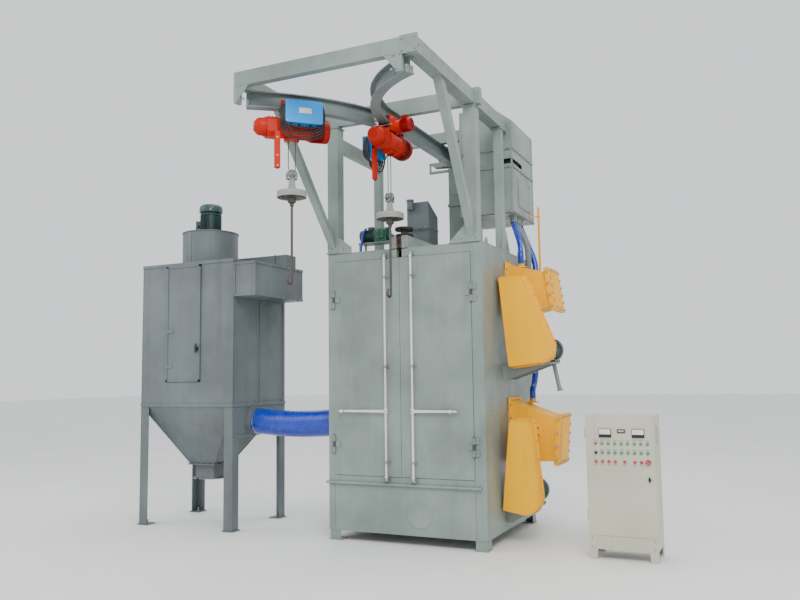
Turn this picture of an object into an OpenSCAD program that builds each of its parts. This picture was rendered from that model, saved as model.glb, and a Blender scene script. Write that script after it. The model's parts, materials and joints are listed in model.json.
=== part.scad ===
// Twin-hook overhead-rail blast cabinet with separator, blast wheels, dust collector and
// control cabinet. X runs to the right along the door face, Y to the rear and Z up.
// The origin is the centre of the chamber's anchor bolts, on the floor.

/* [Chamber] */
// Outer width of the blast chamber
chamber_w = 1770; // [1700:10:1840]
// Outer depth of the blast chamber
chamber_d = 1750; // [1700:10:1800]
// Height of the chamber roof above the floor
chamber_top = 3050; // [3020:10:3080]
// Height of the lowest edge of the side panels
panel_bottom = 100; // [60:10:140]
// Sheet thickness of the chamber walls
wall = 8; // [6:1:10]
// Centre line of the doors, the roof slot and the hoist rail
slot_x = -25; // [-30:5:0]
// Open width of the roof slot between its lips
slot_w = 60; // [50:2:80]

/* [Doors] */
// Height of the door's lower edge
door_bottom = 680; // [660:5:700]
// Height of the door's upper edge
door_top = 2950; // [2900:5:2980]
// Thickness of a door leaf
door_t = 40; // [30:1:50]
// Height of the lower hinge
hinge_low_z = 1000; // [900:10:1100]
// Height of the upper hinge
hinge_high_z = 2540; // [2400:10:2600]
// Radius of the hinge pin
hinge_pin_r = 9; // [7:0.5:11]
// Height of the lever handles on the lock rods
lever_z = 1350; // [1300:10:1400]

/* [Overhead frame] */
// Height of the frame's top face
frame_top = 4620; // [4600:5:4700]
// Height of the frame's longitudinal and cross members
frame_h = 140; // [120:5:160]
// Position of the front member's front face
frame_front = -2361; // [-2400:1:-2340]
// Left end of the front member
frame_left = -1050; // [-1080:5:-1030]
// Height of the rail, an I-section
rail_h = 160; // [140:5:160]
// Radius of the rail's left branch
left_r = 2200; // [2150:10:2250]
// Radius of the rail's right branch
right_r = 1290; // [1280:5:1300]

/* [Hoists] */
// Place of the left hoist along its branch, degrees from the tangent point
left_angle = -45.5; // [-47:0.5:-44]
// Height of the left hook's turning disc
left_disc_z = 3480; // [3400:10:3550]
// Height of the right hook's turning disc
right_disc_z = 3350; // [3340:10:3450]
// Radius of the turning disc on each hook
disc_r = 145; // [130:1:147]

/* [Dust collector] */
// Left face of the filter housing
col_left = -3448; // [-3500:1:-3400]
// Right face of the filter housing
col_right = -2092; // [-2150:1:-2050]
// Front face of the filter housing
col_front = -964; // [-1000:1:-930]
// Rear face of the filter housing
col_rear = 93; // [60:1:120]
// Top of the filter housing
col_top = 3092; // [3050:1:3150]
// Height of the filter housing's lower edge
col_low = 1385; // [1350:5:1400]

/* [Control cabinet] */
// Left face of the control cabinet
panel_left = 1830; // [1800:5:1860]
// Width of the control cabinet
panel_w = 622; // [610:2:640]
// Front face of the control cabinet's door
panel_front = -744; // [-760:1:-730]
// Height of the control cabinet
panel_top = 1315; // [1310:5:1340]

/* [Hidden] */
$fn = 48;
paint = [0.57, 0.62, 0.61];
shade = [0.51, 0.54, 0.55];
yellow = [0.92, 0.67, 0.12];
blue = [0.16, 0.31, 0.75];
red = [0.84, 0.26, 0.15];
motor_green = [0.18, 0.29, 0.29];
cream = [0.88, 0.86, 0.80];
steel = [0.6, 0.6, 0.6];
gap = 1;
run_fit = 0.05;
xr = chamber_w / 2;
yr = chamber_d / 2;
roof_z = chamber_top - wall;
in_z = roof_z - gap;
leaf_left = slot_x - 780;
leaf_right = slot_x + 790;
axis_left = leaf_left - 3;
axis_right = leaf_right + 3;
axis_y = -yr - 22;
leaf_out = -yr - 8;
knuckle_r = 13;
rod_left_x = slot_x - 160;
rod_right_x = slot_x + 145;
rod_y = -yr - 40;
rod_r = 11;
channel_hw = 100;
channel_top = chamber_top + 131;
channel_end = 150;
mouth_y = [-60, 250];
mouth_low = [900, 1300];
mouth_high = [2400, 2820];
duct_y = -575;
duct_z = 1215;
duct_r = 150;
screw = [50, 280];
screw_r = 110;
foot = 140;
anchor = [xr - foot / 2, yr - foot / 2];
post_w = 130;
frame_z = frame_top - frame_h;
rail_z = frame_z - rail_h;
left_c = [slot_x - left_r, -346];
right_c = [slot_x + right_r, -1085];
wheel_up = [1085, 2590];
wheel_low = [1115, 1110];
motor_up = [1330, 1965];
motor_low = [1130, 490];
guard_y = [-455, -305];
casing_y = [-105, 295];
impeller_r = 180;
elev_top = 4330;
belt_x = [30, 150];
drum_r = 90;
boot_z = 210;
head_z = 4560;
sep_x = [268, 905];
sep_y = [228, 1050];
sep_z = [3540, 4800];
big_pulley = 90;
small_pulley = 72;
axle_z = 48;
drum_z = -185;
col_c = [(col_left + col_right) / 2, (col_front + col_rear) / 2];
fan_c = [-2850, col_c[1]];
outlet_z = 695;
filter_door = [-3066, -2561];
filter_hinge_x = filter_door[0] - 6;
filter_hinges = [1860, 2280];
fan_r = 340;
outlet_top = 3200;
panel_z = 215;
panel_right = panel_left + panel_w;
lamp_x = function(i) panel_left + 93 + 58.6 * i;
stop_x = function(i) lamp_x(i < 4 ? i : i == 4 ? 4.45 : i + 1);

// Box between two opposite corners
module block(low, high) {
    translate(low) cube(high - low);
}

// Outline in X and Z, extruded from y0 to y1
module along_y(y0, y1) {
    translate([0, y1, 0]) rotate([90, 0, 0]) linear_extrude(y1 - y0) children();
}

// Outline in Y and Z, extruded from x0 to x1
module along_x(x0, x1) {
    translate([x0, 0, 0]) rotate([90, 0, 90]) linear_extrude(x1 - x0) children();
}

// Round bar along Y
module bar_y(x, z, y0, y1, r) {
    translate([x, y1, z]) rotate([90, 0, 0]) cylinder(h = y1 - y0, r = r);
}

// Round bar along X
module bar_x(y, z, x0, x1, r) {
    translate([x0, y, z]) rotate([0, 90, 0]) cylinder(h = x1 - x0, r = r);
}

// Round bar along Z
module bar_z(x, y, z0, z1, r) {
    translate([x, y, z0]) cylinder(h = z1 - z0, r = r);
}

module chamber_shell() {
    color(paint) {
        // left wall in three bands, the middle one with the suction opening
        block([-xr, -yr + wall + gap, panel_bottom], [-xr + wall, yr - wall - gap, 999]);
        difference() {
            block([-xr, -yr + wall + gap, 1000], [-xr + wall, yr - wall - gap, 1430]);
            bar_x(duct_y, duct_z, -xr - 1, -xr + wall + 1, duct_r - 8);
        }
        block([-xr, -yr + wall + gap, 1431], [-xr + wall, yr - wall - gap, in_z]);
        // right wall around the two wheel mouths
        for (band = [[panel_bottom, mouth_low[0]], [mouth_low[1], mouth_high[0]], [mouth_high[1], in_z]])
            block([xr - wall, -yr + wall + gap, band[0] + gap], [xr, yr - wall - gap, band[1]]);
        for (m = [mouth_low, mouth_high]) {
            block([xr - wall, -yr + wall + gap, m[0] + gap], [xr, mouth_y[0], m[1]]);
            block([xr - wall, mouth_y[1], m[0] + gap], [xr, yr - wall - gap, m[1]]);
        }
        // rear wall with the opening of the screw trough
        difference() {
            block([-xr, yr - wall, panel_bottom], [xr, yr, 450]);
            bar_y(screw[0], screw[1], yr - wall - 1, yr + 1, screw_r + 10);
        }
        block([-xr, yr - wall, 451], [xr, yr, in_z]);
        // front jambs, apron, sill and the header on both sides of the slot
        block([-xr, -yr, panel_bottom], [axis_left, -yr + wall, in_z]);
        block([axis_right, -yr, panel_bottom], [xr, -yr + wall, in_z]);
        block([axis_left + gap, -yr, panel_bottom], [axis_right - gap, -yr + wall, 600]);
        block([axis_left + gap, -yr, 601], [axis_right - gap, -yr + 60, door_bottom - 4]);
        block([axis_left + gap, -yr, door_top + 4], [slot_x - slot_w / 2, -yr + 60, in_z]);
        block([slot_x + slot_w / 2, -yr, door_top + 4], [axis_right - gap, -yr + 60, in_z]);
        // roof plates left, right and behind the slot channel
        block([-xr, -yr, roof_z], [slot_x - channel_hw - gap, yr, chamber_top]);
        block([slot_x + channel_hw + gap, -yr, roof_z], [xr, yr, chamber_top]);
        block([slot_x - channel_hw, channel_end + gap, roof_z], [slot_x + channel_hw, yr, chamber_top]);
    }
}

module cabinet_feet() {
    color(paint)
        for (sx = [-1, 1], sy = [-1, 1])
            scale([sx, sy, 1]) {
                block([xr - wall - gap - 8, yr - 130, 12], [xr - wall - gap, yr - wall - gap, 520]);
                block([xr - 130, yr - wall - gap - 8, 12], [xr - wall - gap, yr - wall - gap, 520]);
                difference() {
                    block([xr - foot, yr - foot, 0], [xr, yr, 12]);
                    bar_z(anchor[0], anchor[1], -1, 13, 11);
                }
            }
}

module hopper_pan() {
    side = xr - wall - 12;
    color(shade) {
        along_y(-yr + 12, yr - wall - 2) polygon([[-side, 588], [-side, 594],
            [screw[0] - screw_r - 15, 320], [screw[0] - screw_r - 15, 312]]);
        along_y(-yr + 12, yr - wall - 2) polygon([[side - 22, 588], [side - 22, 594],
            [screw[0] + screw_r + 15, 320], [screw[0] + screw_r + 15, 312]]);
        difference() {
            bar_y(screw[0], screw[1], -yr + 12, yr - wall - 2, screw_r + 14);
            bar_y(screw[0], screw[1], -yr + 18, yr, screw_r + 8);
            block([screw[0] - 200, -yr, screw[1]], [screw[0] + 200, yr, screw[1] + 200]);
        }
    }
}

module wear_liners() {
    color(steel) {
        block([-xr + wall + gap, -yr + 60, 1440], [-xr + wall + 11, yr - 22, 3000]);
        block([-xr + wall + 12, yr - 20, 640], [xr - wall - 12, yr - wall - gap, 3000]);
        block([xr - wall - 11, -yr + 60, 1320], [xr - wall - gap, yr - 22, 2380]);
    }
}

module floor_grating() {
    reach = xr - 30;
    color(steel) {
        for (i = [0 : 16])
            block([-reach, -yr + 70 + 100 * i, 600], [reach, -yr + 78 + 100 * i, 630]);
        for (x = [-reach, -200, 180, reach - 8])
            block([x, -yr + 70, 598], [x + 8, -yr + 1678, 628]);
    }
}

module roof_slot_channel() {
    cheek = channel_top - 9;
    color(paint) {
        for (s = [-1, 1]) {
            edge = slot_x + s * channel_hw;
            lip = slot_x + s * slot_w / 2;
            block([min(edge, edge - s * 8), -yr + wall + gap, roof_z],
                [max(edge, edge - s * 8), channel_end - 9, cheek]);
            block([min(edge, lip), -yr, cheek + gap], [max(edge, lip), channel_end, channel_top]);
            block([min(edge, lip), -yr, chamber_top + gap], [max(edge, lip), -yr + wall, cheek]);
        }
        block([slot_x - channel_hw, channel_end - 8, chamber_top + gap],
            [slot_x + channel_hw, channel_end, cheek]);
    }
}

// Fixed hinge knuckles with their pin, at one side of the doorway
module jamb_hinge(x, side, z) {
    bar_z(x, axis_y, z - 95, z + 95, hinge_pin_r);
    for (k = [-1, 1]) {
        bar_z(x, axis_y, z + 62 * k - 31, z + 62 * k + 31, knuckle_r);
        block([min(x, x + side * 55), -yr - 12, z + 62 * k - 31],
            [max(x, x + side * 55), -yr, z + 62 * k + 31]);
    }
}

// Open cheeks that a lock rod's end rests between
module keeper(x, z) {
    for (s = [-1, 1])
        block([x + s * 19 - 4, -yr - 58, z], [x + s * 19 + 4, -yr - 6 - gap, z + 40]);
    block([x - 34, -yr - 6, z], [x + 34, -yr, z + 40]);
}

module door_fittings() {
    color(paint) {
        for (z = [hinge_low_z, hinge_high_z]) {
            jamb_hinge(axis_left, -1, z);
            jamb_hinge(axis_right, 1, z);
        }
        for (x = [rod_left_x, rod_right_x]) {
            keeper(x, door_top + 15);
            keeper(x, door_bottom - 50);
        }
        bar_x(-yr - 18, 600, -xr - 22, xr - 50, 14);
        for (x = [-xr + 60, slot_x, xr - 120])
            block([x, -yr - 18, 592], [x + 40, -yr, 608]);
    }
}

// Knee brace from a post's foot to the beam above, leaning sideways from foot_x to top_x
module brace(foot_x, top_x, top_y) {
    foot_z = chamber_top + 60;
    top_z = frame_z - gap;
    lean = (top_x - foot_x) / (top_z - foot_z);
    multmatrix([[1, 0, lean, foot_x - lean * foot_z], [0, 1, 0, 0], [0, 0, 1, 0], [0, 0, 0, 1]])
        along_x(-40, 40) polygon([[-yr - 15, foot_z], [-yr - 15, foot_z + 130],
            [top_y + 60, top_z], [top_y - 45, top_z]]);
}

module overhead_frame() {
    left_x = -xr + post_w;
    cross = [-yr + 5, -yr + 85];
    post_top = frame_z - gap;
    color(paint) {
        block([xr - 165, -yr - 5, chamber_top], [xr - 35, -yr + 125, post_top]);
        block([-xr, -yr - 5, chamber_top], [left_x, -yr + 125, post_top]);
        block([xr - 125, -20, chamber_top], [xr - 35, 70, post_top]);
        block([-xr, 250, chamber_top], [-xr + 90, 340, post_top]);
        block([frame_left, cross[0], frame_z + gap], [xr + 15, cross[1], frame_top + 30]);
        block([frame_left, frame_front, frame_z], [xr - 166, frame_front + 80, frame_top]);
        block([xr - 165, frame_front, frame_z], [xr - 35, cross[0] - gap, frame_top]);
        block([xr - 165, cross[1] + gap, frame_z], [xr - 35, 200, frame_top]);
        block([frame_left, frame_front + 81, frame_z], [frame_left + 80, cross[0] - gap, frame_top]);
        block([-xr + 30, -yr + 126, 4230], [-xr + 110, 249, 4370]);
        block([-xr, 255, frame_z + gap], [260, 335, frame_top - 10]);
        // hangers and gussets at both ends of the front member
        block([xr - 225, frame_front, rail_z], [xr - 166, frame_front + 46, frame_z - gap]);
        block([frame_left, frame_front, rail_z], [frame_left + 40, frame_front + 79, frame_z - gap]);
        along_y(frame_front + 2, frame_front + 12)
            polygon([[xr - 226, frame_z - 1], [xr - 226, rail_z + 20], [xr - 340, frame_z - 1]]);
        along_y(frame_front + 2, frame_front + 12)
            polygon([[frame_left + 41, frame_z - 1], [frame_left + 41, rail_z + 20],
                [frame_left + 170, frame_z - 1]]);
        // gusset plates at the posts' feet
        along_y(-yr - 14, -yr - 6) polygon([[slot_x + 560, chamber_top], [xr - 168, chamber_top + 180],
            [xr - 30, chamber_top + 200], [xr, chamber_top]]);
        along_y(-yr - 14, -yr - 6) polygon([[-xr, chamber_top], [-xr, chamber_top + 110],
            [left_x, chamber_top + 180], [left_x + 165, chamber_top + 60], [left_x + 165, chamber_top]]);
        along_x(xr - 34, xr - 26) polygon([[-100, chamber_top], [-20, chamber_top + 250],
            [70, chamber_top + 250], [200, chamber_top]]);
    }
    color(paint) {
        brace(xr - 100, xr - 100, -1690);
        brace(-xr + 65, frame_left + 40, -1677);
    }
}

// Section of the rail, hung from its upper flange
module rail_section() {
    for (z = [0, rail_h - 12])
        translate([-50, z]) square([100, 12]);
    translate([-4, 0]) square([8, rail_h]);
}

module rail_arc(centre, radius, from, sweep) {
    translate([centre[0], centre[1], rail_z]) rotate([0, 0, from])
        rotate_extrude(angle = sweep, $fn = 180) translate([radius, 0]) rail_section();
}

module monorail_track() {
    color(shade) {
        rail_arc(left_c, left_r, -57, 36);
        rail_arc(right_c, right_r, 180, 67);
        translate([slot_x, 874, rail_z]) rotate([90, 0, 0]) linear_extrude(874 + 1085) rail_section();
    }
}

module elevator_casing() {
    x0 = -140;
    x1 = 200;
    y0 = yr + 10;
    y1 = yr + 305;
    color(paint) {
        block([x0, y0, 10], [x0 + 6, y1, elev_top]);
        block([x1 - 6, y0, 10], [x1, y1, elev_top]);
        block([x0 + 7, y1 - 6, 10], [x1 - 7, y1, elev_top]);
        block([x0 + 7, y0, 450], [x1 - 7, y0 + 6, elev_top]);
        block([x0, y0, 0], [x1, y1, 9]);
        // head housing over the upper drum
        block([-30, y0, elev_top + gap], [-24, y1, 4700]);
        block([194, y0, elev_top + gap], [200, y1, 4700]);
        block([-23, y0, elev_top + gap], [193, y0 + 6, 4700]);
        block([-23, y1 - 6, elev_top + gap], [193, y1, 4700]);
        block([-30, y0, 4701], [200, y1, 4708]);
        block([-140, y0, elev_top + gap], [-31, y1, elev_top + 8]);
    }
}

module bucket_belt() {
    y = yr + 158;
    color([0.2, 0.2, 0.2]) {
        for (s = [-1, 1])
            block([belt_x[0], y + s * (drum_r + 5) - 3, boot_z],
                [belt_x[1], y + s * (drum_r + 5) + 3, head_z]);
        for (i = [0 : 13], s = [-1, 1])
            block([belt_x[0] + 8, min(y + s * 95, y + s * 135), boot_z + 60 + 300 * i],
                [belt_x[1] - 8, max(y + s * 95, y + s * 135), boot_z + 150 + 300 * i]);
        bar_x(y, boot_z, belt_x[0], belt_x[1], drum_r + 8);
    }
}

module elevator_drum() {
    color(steel) {
        bar_x(yr + 158, head_z, belt_x[0] - 10, belt_x[1] + 10, drum_r);
        bar_x(yr + 158, head_z, -22, 192, 22);
    }
}

module elevator_drive() {
    y = yr + 158;
    color(motor_green) {
        bar_x(y, head_z, -330, -150, 75);
        block([-330, y - 60, head_z - 110], [-150, y + 60, head_z - 60]);
        block([-270, y - 50, head_z + 60], [-200, y + 20, head_z + 100]);
    }
    color(paint) {
        block([-148, y - 80, head_z - 110], [-32, y + 80, head_z + 80]);
        block([-420, y - 110, head_z - 122], [-32, y + 110, head_z - 111]);
        block([-420, y - 100, elev_top + 9], [-400, y - 80, head_z - 123]);
        block([-420, y - 110, elev_top - 20], [-142, y - 70, elev_top + 8]);
    }
}

// Separator housing, a tall box with one sloping shoulder
module separator_box() {
    t = 8;
    x = sep_x;
    y = sep_y;
    z = sep_z;
    slot = [4120, 4175];
    slot_x0 = x[1] - 110;
    slot_y1 = y[0] + 380;
    color(paint) {
        block([x[0], y[0], z[0]], [x[0] + t, y[1], z[1]]);
        block([x[0] + t + gap, y[0], z[0]], [x[1], y[1], z[0] + t]);
        block([x[0] + t + gap, y[0] + t + gap, z[1] - t], [x[1] - 232, y[1], z[1]]);
        along_y(y[0] + t + gap, y[1]) polygon([[x[1] - 230, z[1] - t], [x[1] - 230, z[1]],
            [x[1], z[1] - 180], [x[1], z[1] - 180 - t]]);
        // front face below, beside and above the air inlet slot that wraps round the corner
        block([x[0] + t + gap, y[0], z[0] + t + gap], [x[1], y[0] + t, slot[0]]);
        block([x[0] + t + gap, y[0], slot[0] + gap], [slot_x0, y[0] + t, slot[1]]);
        along_y(y[0], y[0] + t) polygon([[x[0] + t + gap, slot[1] + gap], [x[1], slot[1] + gap],
            [x[1], z[1] - 180 - t - gap], [x[1] - 232, z[1] - t], [x[1] - 232, z[1]],
            [x[0] + t + gap, z[1]]]);
        // right face in the same three parts, and the rear face
        block([x[1] - t, y[0] + t + gap, z[0] + t + gap], [x[1], y[1] - t - gap, slot[0]]);
        block([x[1] - t, slot_y1, slot[0] + gap], [x[1], y[1] - t - gap, slot[1]]);
        block([x[1] - t, y[0] + t + gap, slot[1] + gap],
            [x[1], y[1] - t - gap, z[1] - 180 - t - gap]);
        block([x[0] + t + gap, y[1] - t, z[0] + t + gap], [x[1] - t, y[1], z[1] - 200]);
    }
}

// Wheel housing bolted to the right wall, with a thick outer flange. The outline runs from the
// top outer corner to the bottom outer corner, and wall_z holds its two heights at the wall.
module wheel_casing(axis, top_out, low_out, wall_z) {
    edge = casing_y;
    color(yellow) {
        difference() {
            along_y(edge[0], edge[1])
                polygon([[xr, wall_z[0]], low_out, top_out, [xr, wall_z[1]]]);
            along_y(edge[0] + 12, edge[1] - 12)
                polygon([[xr - 1, wall_z[0] + 12], low_out + [-14, 14], top_out + [-14, -14],
                    [xr - 1, wall_z[1] - 12]]);
            bar_y(axis[0], axis[1], edge[0] - 1, edge[0] + 14, 32);
        }
        along_y(edge[0] - 25, edge[1] + 25)
            polygon([low_out + [6, -40], low_out + [56, -44], top_out + [54, 44], top_out + [4, 40]]);
        difference() {
            bar_y(axis[0], axis[1], -250, edge[0] - gap, 70);
            bar_y(axis[0], axis[1], -251, edge[0], 32);
        }
    }
}

module wheel_casing_upper() {
    wheel_casing(wheel_up, [1310, 2800], [1375, 2420], [2330, 2905]);
}

module wheel_casing_lower() {
    wheel_casing(wheel_low, [1400, 1250], [1355, 805], [790, 1440]);
}

// Hollow belt guard of one outline, open only round the shafts
module belt_guard(shaft, motor_axis, centre, round_r, points, inset) {
    color(yellow)
        difference() {
            along_y(guard_y[0], guard_y[1]) {
                polygon(points);
                translate(centre) circle(r = round_r);
            }
            along_y(guard_y[0] + 5, guard_y[1] - 5) {
                polygon(inset);
                translate(centre) circle(r = round_r - 5);
            }
            bar_y(shaft[0], shaft[1], guard_y[1] - 10, guard_y[1] + 1, 32);
            bar_y(motor_axis[0], motor_axis[1], guard_y[1] - 10, guard_y[1] + 1, 32);
        }
}

module belt_guard_upper() {
    belt_guard(wheel_up, motor_up, motor_up, 140,
        [[917, 2728], [1176, 2721], [1459, 2015], [1320, 1826], [1005, 1788]],
        [[923, 2723], [1172, 2716], [1453, 2015], [1318, 1832], [1010, 1794]]);
}

module belt_guard_lower() {
    belt_guard(wheel_low, motor_low, [motor_low[0], 455], 158,
        [[995, 1245], [1215, 1240], [1288, 455], [1130, 298], [905, 335]],
        [[1000, 1240], [1210, 1235], [1282, 460], [1128, 304], [911, 340]]);
}

module wheel_motors() {
    for (axis = [motor_up, motor_low]) {
        color(motor_green) {
            difference() {
                bar_y(axis[0], axis[1], guard_y[1] + gap, 60, 128);
                bar_y(axis[0], axis[1], guard_y[1], 20, 31);
            }
            bar_y(axis[0], axis[1], 62, 110, 118);
            block([axis[0] - 45, -200, axis[1] + 120], [axis[0] + 45, -80, axis[1] + 160]);
        }
        color(yellow)
            block([xr, -270, axis[1] - 148], [axis[0] + 90, 40, axis[1] - 131]);
    }
}

// Grooved pulley seen along Y
module pulley(axis, r) {
    for (y = [-420, -396, -372])
        bar_y(axis[0], axis[1], y, y + 8, r);
    bar_y(axis[0], axis[1], -430, -350, r - 8);
}

// Closed belt loop round two pulleys
module belt_loop(a, b, ra, rb) {
    for (y = [-411, -387])
        along_y(y, y + 14) difference() {
            hull() {
                translate(a) circle(r = ra + 7);
                translate(b) circle(r = rb + 7);
            }
            hull() {
                translate(a) circle(r = ra - 7);
                translate(b) circle(r = rb - 7);
            }
        }
}

module drive_belts() {
    color([0.12, 0.12, 0.12]) {
        belt_loop(wheel_up, motor_up, big_pulley, small_pulley);
        belt_loop(wheel_low, motor_low, big_pulley, small_pulley);
    }
}

// Blast wheel rotor: two discs, eight blades, shaft and its pulley
module impeller(axis) {
    color(steel) {
        for (y = [60, 132])
            bar_y(axis[0], axis[1], y, y + 12, impeller_r);
        for (i = [0 : 7])
            translate([axis[0], 0, axis[1]]) rotate([0, i * 45, 0])
                block([70, 70, -6], [impeller_r - 4, 134, 6]);
        bar_y(axis[0], axis[1], -425, 140, 30);
        pulley(axis, big_pulley);
    }
}

module impeller_upper() {
    impeller(wheel_up);
}

module impeller_lower() {
    impeller(wheel_low);
}

module motor_pulley(axis) {
    color(steel) {
        pulley(axis, small_pulley);
        bar_y(axis[0], axis[1], -425, 0, 29);
    }
}

module motor_pulley_upper() {
    motor_pulley(motor_up);
}

module motor_pulley_lower() {
    motor_pulley(motor_low);
}

// Length of a chord between two points
function dist(a, b) = norm(b - a);

// Round bar between two points
module rod_between(a, b, r) {
    d = b - a;
    translate(a) rotate([0, acos(d[2] / dist(a, b)), atan2(d[1], d[0])]) cylinder(h = dist(a, b), r = r);
}

// Chain of round bars with slightly larger ball joints, along a list of points
module bent_pipe(points, r) {
    for (i = [0 : len(points) - 2])
        rod_between(points[i], points[i + 1], r);
    for (i = [1 : len(points) - 2])
        translate(points[i]) sphere(r = r + 2);
}

// Route of the hose to the upper wheel, then of the hose to the lower wheel
hose_up = [[840, 420, sep_z[0] - 2], [840, 420, 3460], [925, 350, 3220], [980, 200, 3060], [980, 200, 2900]];
hose_low = [[840, 700, sep_z[0] - 2], [840, 700, 3460], [930, 700, 3220], [1005, 690, 3000],
    [1045, 600, 2600], [1060, 480, 2000], [1060, 330, 1640], [1060, 240, 1540], [1060, 240, 1400]];

module feed_hoses() {
    color(blue) {
        bent_pipe(hose_up, 33);
        bent_pipe(hose_low, 33);
    }
}

module feed_pipes() {
    color(shade) {
        bent_pipe([[840, 560, sep_z[0] - 2], [840, 560, 3450], [945, 590, 3200], [950, 620, 2000]], 36);
        rod_between([1372, -20, 1812], [1425, -20, 1540], 22);
    }
    color(yellow) {
        bar_z(1010, 900, 2600, 3720, 14);
        block([sep_x[1] + gap, 892, 3600], [1010, 908, 3612]);
        block([xr + gap, 892, 2700], [1010, 908, 2712]);
    }
}

module spin_drive() {
    y = -175;
    color(motor_green) {
        bar_x(y, 3350, -840, -640, 75);
        block([-780, y - 40, 3422], [-710, y + 40, 3455]);
    }
    color([0.12, 0.38, 0.30]) {
        block([-638, y - 75, 3270], [-478, y + 75, 3430]);
        block([-477, y - 50, 3300], [-420, y + 50, 3345]);
    }
    color(paint) {
        block([-840, y - 90, 3250], [-400, y + 90, 3262]);
        for (x = [-830, -430], dy = [-80, 60])
            block([x, y + dy, chamber_top], [x + 20, y + dy + 20, 3249]);
        // bracket of the wheel's upright shaft
        difference() {
            block([-430, y - 58, 3222], [-225, y + 58, 3249]);
            bar_z(-285, y, 3221, 3251, 20 + run_fit);
        }
    }
}

module friction_wheel() {
    color([0.16, 0.13, 0.12]) {
        for (z = [3290, 3372])
            bar_z(-285, -175, z, z + 38, 108);
        bar_z(-285, -175, 3190, 3372, 20);
        bar_z(-285, -175, 3256, 3420, 40);
    }
}

module roof_vent_box() {
    color(shade) {
        difference() {
            along_x(-430, -150) polygon([[230, chamber_top], [520, chamber_top], [520, 3640], [230, 3790]]);
            along_x(-424, -156) polygon([[236, chamber_top + 6], [514, chamber_top + 6],
                [514, 3634], [236, 3780]]);
        }
        bar_z(-360, 170, 3700, 3800, 38);
        block([-398, 171, 3716], [-322, 229, 3740]);
        bar_z(-360, 170, 3800, 3812, 46);
    }
}

module duct_hose() {
    color(blue)
        difference() {
            rotate([0, 90, 0]) translate([-duct_z, duct_y, col_right + 71])
                cylinder(h = -xr - col_right - 110, r = duct_r, $fn = 64);
            bar_x(duct_y, duct_z, col_right, -xr, duct_r - 8);
        }
    color(paint) {
        for (x = [col_right + 1, -xr - 38])
            difference() {
                union() {
                    bar_x(duct_y, duct_z, x, x + 37 + (x < -1000 ? 32 : 0), duct_r - 9);
                    bar_x(duct_y, duct_z, x < -1000 ? x : x + 27, (x < -1000 ? x : x + 27) + 10, duct_r + 22);
                }
                bar_x(duct_y, duct_z, x - 1, x + 80, duct_r - 18);
            }
    }
}

module collector_body() {
    t = 6;
    color(shade) {
        // four walls, top and the two legs' angles at each corner
        block([col_left + t + gap, col_front, col_low], [col_right - t - gap, col_front + t, 1675]);
        block([col_left + t + gap, col_front, 3061], [col_right - t - gap, col_front + t, col_top - t - gap]);
        block([col_left + t + gap, col_front, 1676], [filter_door[0] - 2, col_front + t, 3060]);
        block([filter_door[1] + 3, col_front, 1676], [col_right - t - gap, col_front + t, 3060]);
        block([col_left + t + gap, col_rear - t, col_low],
            [col_right - t - gap, col_rear, col_top - t - gap]);
        block([col_left, col_front, col_low], [col_left + t, col_rear, col_top - t - gap]);
        difference() {
            block([col_right - t, col_front, 1045], [col_right, col_rear, 1440]);
            bar_x(duct_y, duct_z, col_right - 10, col_right + 1, duct_r - 18);
        }
        block([col_right - t, col_front, 1441], [col_right, col_rear, col_top - t - gap]);
        difference() {
            block([col_left, col_front, col_top - t], [col_right, col_rear, col_top]);
            bar_z(fan_c[0], fan_c[1], col_top - 10, col_top + 1, 220);
        }
        for (x = [col_left, col_right], y = [col_front, col_rear]) {
            sx = x == col_left ? 1 : -1;
            sy = y == col_front ? 1 : -1;
            high = x == col_right ? 1044 : col_low - gap;
            block([min(x, x + sx * 8), min(y, y + sy * 115), 12],
                [max(x, x + sx * 8), max(y, y + sy * 115), high]);
            block([min(x + sx * 9, x + sx * 120), min(y, y + sy * 8), 12],
                [max(x + sx * 9, x + sx * 120), max(y, y + sy * 8), col_low - gap]);
            difference() {
                block([min(x - sx * 15, x + sx * 135), min(y - sy * 15, y + sy * 135), 0],
                    [max(x - sx * 15, x + sx * 135), max(y - sy * 15, y + sy * 135), 11]);
                bar_z(x + sx * 70, y + sy * 70, -1, 12, 9);
            }
        }
        for (z = filter_hinges) {
            bar_z(filter_hinge_x, col_front - 12, z - 61, z + 61, 3);
            for (s = [-41, 41]) {
                bar_z(filter_hinge_x, col_front - 12, z + s - 20, z + s + 20, 6);
                block([filter_hinge_x - 23, col_front - 12, z + s - 20],
                    [filter_hinge_x, col_front - gap, z + s + 20]);
            }
        }
    }
}

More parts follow.
